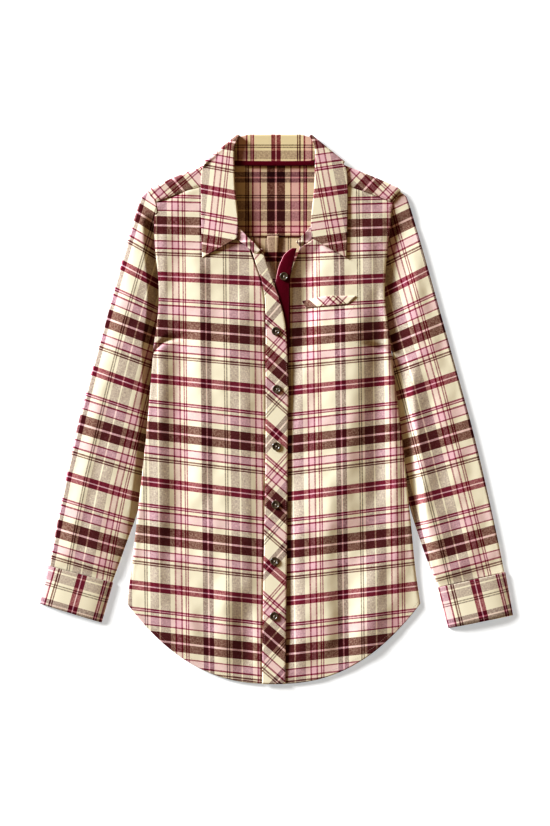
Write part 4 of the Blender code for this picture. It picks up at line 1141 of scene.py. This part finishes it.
CUFF_RIGHT_END = (-0.3360, -0.2770, -0.2480, -0.3040)
CUFF_LEFT_END = (0.3355, -0.2935, 0.2440, -0.3120)
CUFF_WIDEN = 0.0015
CUFF_OVERLAP = 0.0010
CUFF_WALL = 0.0014
CUFF_Z = 0.0056
CUFF_BULGE = 0.0034
CUFF_EDGE_DIP = 0.0016
CUFF_GRAIN_START = (0.0731, 0.0930)
CUFF_STITCH_AT = (0.06, 0.94)


def cuff_table(sleeve_end, cuff_end):
    """Two sections of a cuff: a little wider than the sleeve's end that it covers, and its edge."""
    outer, inner = sleeve_end[:2], sleeve_end[2:]
    across = (outer - inner) / np.linalg.norm(outer - inner)
    up = np.array((across[1], -across[0]))
    up = up if up[1] > 0.0 else -up
    start = np.concatenate((outer + across * CUFF_WIDEN + up * CUFF_OVERLAP,
                            inner - across * CUFF_WIDEN + up * CUFF_OVERLAP))
    return np.stack((start, np.array(cuff_end)))


def cuff_points(table, u, v):
    """Cuff: a flattened ring, slightly crowned, its free edge rounded in."""
    outer, inner = tube_sections(table, v)
    width = np.linalg.norm(inner - outer, axis=-1)
    along, over, lower = tube_across(u, width, CUFF_Z, CUFF_Z)
    plan = mix(outer, inner, (along / width)[..., None])
    edge = np.minimum(1.0, 8.0 * np.minimum(v, 1.0 - v))
    top = CUFF_Z + CUFF_BULGE * (1.0 - abs(2.0 * over - 1.0) ** 4)
    top = top - CUFF_EDGE_DIP * (1.0 - edge) ** 2 * (v > 0.5)
    return stack(plan[..., 0], plan[..., 1], mix(FLOOR_GAP, top, lower))


u, v = grid(120, 26, crowd_v=0.4)
for name, sleeve_table, cuff_end, turn, origin, area in (
        ("right", SLEEVE_RIGHT, CUFF_RIGHT_END, -16.0, (-0.2832, -0.2646), 0.0103),
        ("left", SLEEVE_LEFT, CUFF_LEFT_END, 14.0, (0.2868, -0.2717), 0.0113)):
    table = cuff_table(sleeve_table[-1], cuff_end)
    points = cuff_points(table, u, v)
    cut = grain(points, origin, turn, weft_sign=-1.0, start=CUFF_GRAIN_START)[..., ::-1]
    cuff = cloth(f"cuff_{name}_cloth", points, cut, CUFF_WALL, flannel, up_at=(0.2, 0.5),
                 closed=True)
    dress(cuff, f"cuff_{name}", area)
    seam_u = np.linspace(0.01, 0.43, 120)
    cuff_rows = [cuff_points(table, *np.broadcast_arrays(seam_u, at)) for at in CUFF_STITCH_AT]
    sew(f"cuff_{name}_stitching", cuff_rows, beige_thread)


# ---- pocket welt
# A narrow flannel strip cut on the bias, set on the left front over the mouth of a breast pocket
# and stitched down at both ends.

WELT_LOW_X = (0.0410, 0.0700, 0.1010)
WELT_LOW_Y = (0.1420, 0.1445, 0.1475)
WELT_HIGH_X = (0.0365, 0.0720, 0.1130)
WELT_HIGH_Y = (0.1520, 0.1585, 0.1590)
WELT_WALL = 0.0008
WELT_GAP = 0.0002
WELT_CROWN = 0.0006
TACK_X = (0.1150, 0.1006)
TACK_Y = (0.1530, 0.1302)


def welt_points(u, v):
    """Welt: between its lower and upper edges, lying on the front's own face."""
    x = mix(even(WELT_LOW_X, u), even(WELT_HIGH_X, u), v)
    y = mix(even(WELT_LOW_Y, u), even(WELT_HIGH_Y, u), v)
    crown = 1.0 - (2.0 * v - 1.0) ** 4
    return stack(x, y, front_z(x, y, 1.0) + WELT_WALL + WELT_GAP + WELT_CROWN * crown)


u, v = grid(60, 14)
points = welt_points(u, v)
cut = grain(points, (0.0518, 0.1486), -42.0, warp_sign=-1.0, weft_sign=-1.0, start=(0.0516, 0.0126))
welt = cloth("pocket_welt_cloth", points, cut, WELT_WALL, flannel)
dress(welt, "pocket_welt", 0.00086)
tack_row = on_front(1.0, np.linspace(*TACK_X, 40), np.linspace(*TACK_Y, 40))
welt_rows = [points[1:-1, 2], points[1:-1, -3], points[1, 2:-2], tack_row]
sew("welt_stitching", welt_rows, beige_thread, length=0.0024, pitch=0.0026)


# ---- buttons
# Seven turned horn-look resin buttons with a raised rim, sewn on through four holes: the top one on
# the burgundy facing, six that come through the placket band.

BUTTONS = (
    ("button_1", 0.0105, 0.1865), ("button_2", -0.0010, 0.1090), ("button_3", 0.0003, 0.0270),
    ("button_4", -0.0002, -0.0540), ("button_5", -0.0012, -0.1365), ("button_6", -0.0030, -0.2165),
    ("button_7", -0.0035, -0.2945),
)
BUTTON_PROFILE = (
    # radius and height, from the middle of the face over the rim to the middle of the underside
    (0.0000, 0.0015), (0.0015, 0.0015), (0.0028, 0.0016), (0.0038, 0.0018), (0.0043, 0.0022),
    (0.0049, 0.0024), (0.0054, 0.0024), (0.0058, 0.0021), (0.0060, 0.0014), (0.0058, 0.0006),
    (0.0050, 0.0001), (0.0000, 0.0000),
)
ON_FACING = 0.0008
ON_BAND = 0.0005
HOLE_STITCH_LIFT = 0.0003
THREAD_LIFT = 0.0016
THREAD_CROWN = 0.0002
HOLE_OFFSET = 0.0014
HOLE_WIDTH = 0.0006
HOLE_DEPTH = 0.0011
HOLE_LONG = 0.0150
HOLE_SLIT = 0.0022
HORN_DARK = (0.026, 0.017, 0.010, 1.0)
HORN_LIGHT = (0.235, 0.172, 0.110, 1.0)


def horn_finish():
    """Streaked horn: soft bands of dark and light through the button, polished on its face."""
    material, tree, shader = new_finish("horn_resin", Coat_Weight=0.4, Coat_Roughness=0.15)
    place = tree.add("TexCoord", {}, {}, out=3)
    streaks = place.add("TexNoise", {}, {"Vector": place, "Scale": 420.0, "Detail": 5.0,
                                         "Distortion": 1.2})
    colour = (streaks * 1.6 - 0.45).blend(HORN_DARK, HORN_LIGHT)
    feed(shader, Base_Color=colour, Roughness=0.25 + streaks * 0.2)
    return material


def button_points(u, v):
    """Button: a profile turned about its axis, v out from the middle of the face, over the rim and
    back underneath; four dents in the face are the sewing holes."""
    places = np.linspace(0.0, 1.0, len(BUTTON_PROFILE))
    radius, height = (np.interp(v, places, column) for column in np.array(BUTTON_PROFILE).T)
    x = radius * np.cos(2.0 * np.pi * u)
    y = radius * np.sin(2.0 * np.pi * u)
    gap = np.hypot(abs(x) - HOLE_OFFSET, abs(y) - HOLE_OFFSET)
    hole = np.exp(-(gap / HOLE_WIDTH) ** 4) * (v < 0.5)
    return stack(x, y, height - HOLE_DEPTH * hole)


horn = horn_finish()
pale_thread = thread_finish("pale_thread", (0.50, 0.42, 0.34, 1.0), (0.92, 0.86, 0.76, 1.0))
u, v = grid(48, 44)
turned = button_points(u, v)
buttonholes, button_threads = [], []
turn = np.linspace(0.0, 2.0 * np.pi, 60)
cross = np.linspace(-1.0, 1.0, 9)
for name, button_x, button_y in BUTTONS:
    if name == "button_1":
        base = curve(FACING_Z_Y, FACING_Z, button_y) + ON_FACING
    else:
        base = curve(PLACKET_Z_Y, PLACKET_Z, button_y) + ON_BAND
        hole_y = button_y + HOLE_LONG / 2.0 * np.sin(turn)
        hole_z = curve(PLACKET_Z_Y, PLACKET_Z, hole_y) + HOLE_STITCH_LIFT
        buttonholes.append(stack(button_x + HOLE_SLIT / 2.0 * np.cos(turn), hole_y, hole_z))
    points = turned + np.array((button_x, button_y, base))
    button = cloth(f"{name}_horn", points, points[..., :2], None, horn, up_at=(0.2, 0.2),
                   closed=True)
    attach(button, "root")
    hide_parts(name)
    for slant in (-1.0, 1.0):
        bar_z = base + THREAD_LIFT + THREAD_CROWN * (1.0 - cross ** 2)
        bar_x, bar_y = button_x + HOLE_OFFSET * cross, button_y + slant * HOLE_OFFSET * cross
        button_threads.append(stack(bar_x, bar_y, bar_z))
sew("buttonhole_stitching", buttonholes, beige_thread,
    length=0.0014, pitch=0.0011, width=0.0009)
sew("button_thread", button_threads, pale_thread,
    length=0.0037, pitch=0.0040, width=0.0010, height=0.0004)


# ---- table, light and camera
# A plain pale light table, two soft lamps at the upper left, one high and one low, and a camera
# straight above.

TABLE_SIZE = 6.0
TABLE_COLOUR = (0.82, 0.76, 0.69, 1.0)
TABLE_GLOW_COLOUR = (0.757, 0.893, 1.0, 1.0)
TABLE_GLOW = 0.350
FRAME_LONG = 1.1730
CAMERA_LENS = 100.0
CAMERA_SENSOR = 36.0
CAMERA_X = -0.0019
CAMERA_Y = -0.0055
ROOM_COLOUR = (1.0, 0.70, 0.40, 1.0)
ROOM_LIGHT = 0.19
LAMP_COLOUR = (0.89, 0.97, 1.07)
LAMP_PLAN = (-1.48, 0.92)
LAMPS = (("window_lamp", 0.704, 16.0, 3.05), ("low_lamp", 0.434, 20.0, 2.85))

table_mesh = bpy.data.meshes.new("table_top")
half = TABLE_SIZE / 2.0
table_corners = [(-half, -half, 0.0), (half, -half, 0.0), (half, half, 0.0), (-half, half, 0.0)]
table_mesh.from_pydata(table_corners, [], [(0, 1, 2, 3)])
table_finish = new_finish("table_white", Roughness=0.9, Base_Color=TABLE_COLOUR,
                          Emission_Color=TABLE_GLOW_COLOUR, Emission_Strength=TABLE_GLOW)[0]
table_mesh.materials.append(table_finish)
table_top = put("table_top", table_mesh)

world = bpy.data.worlds.new("studio")
world.use_nodes = True
room = world.node_tree.nodes["Background"].inputs
room["Color"].default_value = ROOM_COLOUR
room["Strength"].default_value = ROOM_LIGHT
bpy.context.scene.world = world

for name, height, angle, energy in LAMPS:
    lamp_data = bpy.data.lights.new(name, "SUN")
    lamp_data.angle = np.radians(angle)
    lamp_data.energy = energy
    lamp_data.color = LAMP_COLOUR
    lamp = put(name, lamp_data)
    lamp.location = (*LAMP_PLAN, height)
    lamp.rotation_euler = (-lamp.location).to_track_quat("-Z", "Y").to_euler()

camera_data = bpy.data.cameras.new("overhead")
camera_data.lens = CAMERA_LENS
camera_data.sensor_width = CAMERA_SENSOR
camera = put("overhead", camera_data)
camera.location = (CAMERA_X, CAMERA_Y, FRAME_LONG * CAMERA_LENS / CAMERA_SENSOR)
bpy.context.scene.camera = camera
bpy.context.scene.view_settings.view_transform = "Standard"
bpy.context.scene.view_settings.look = "High Contrast"
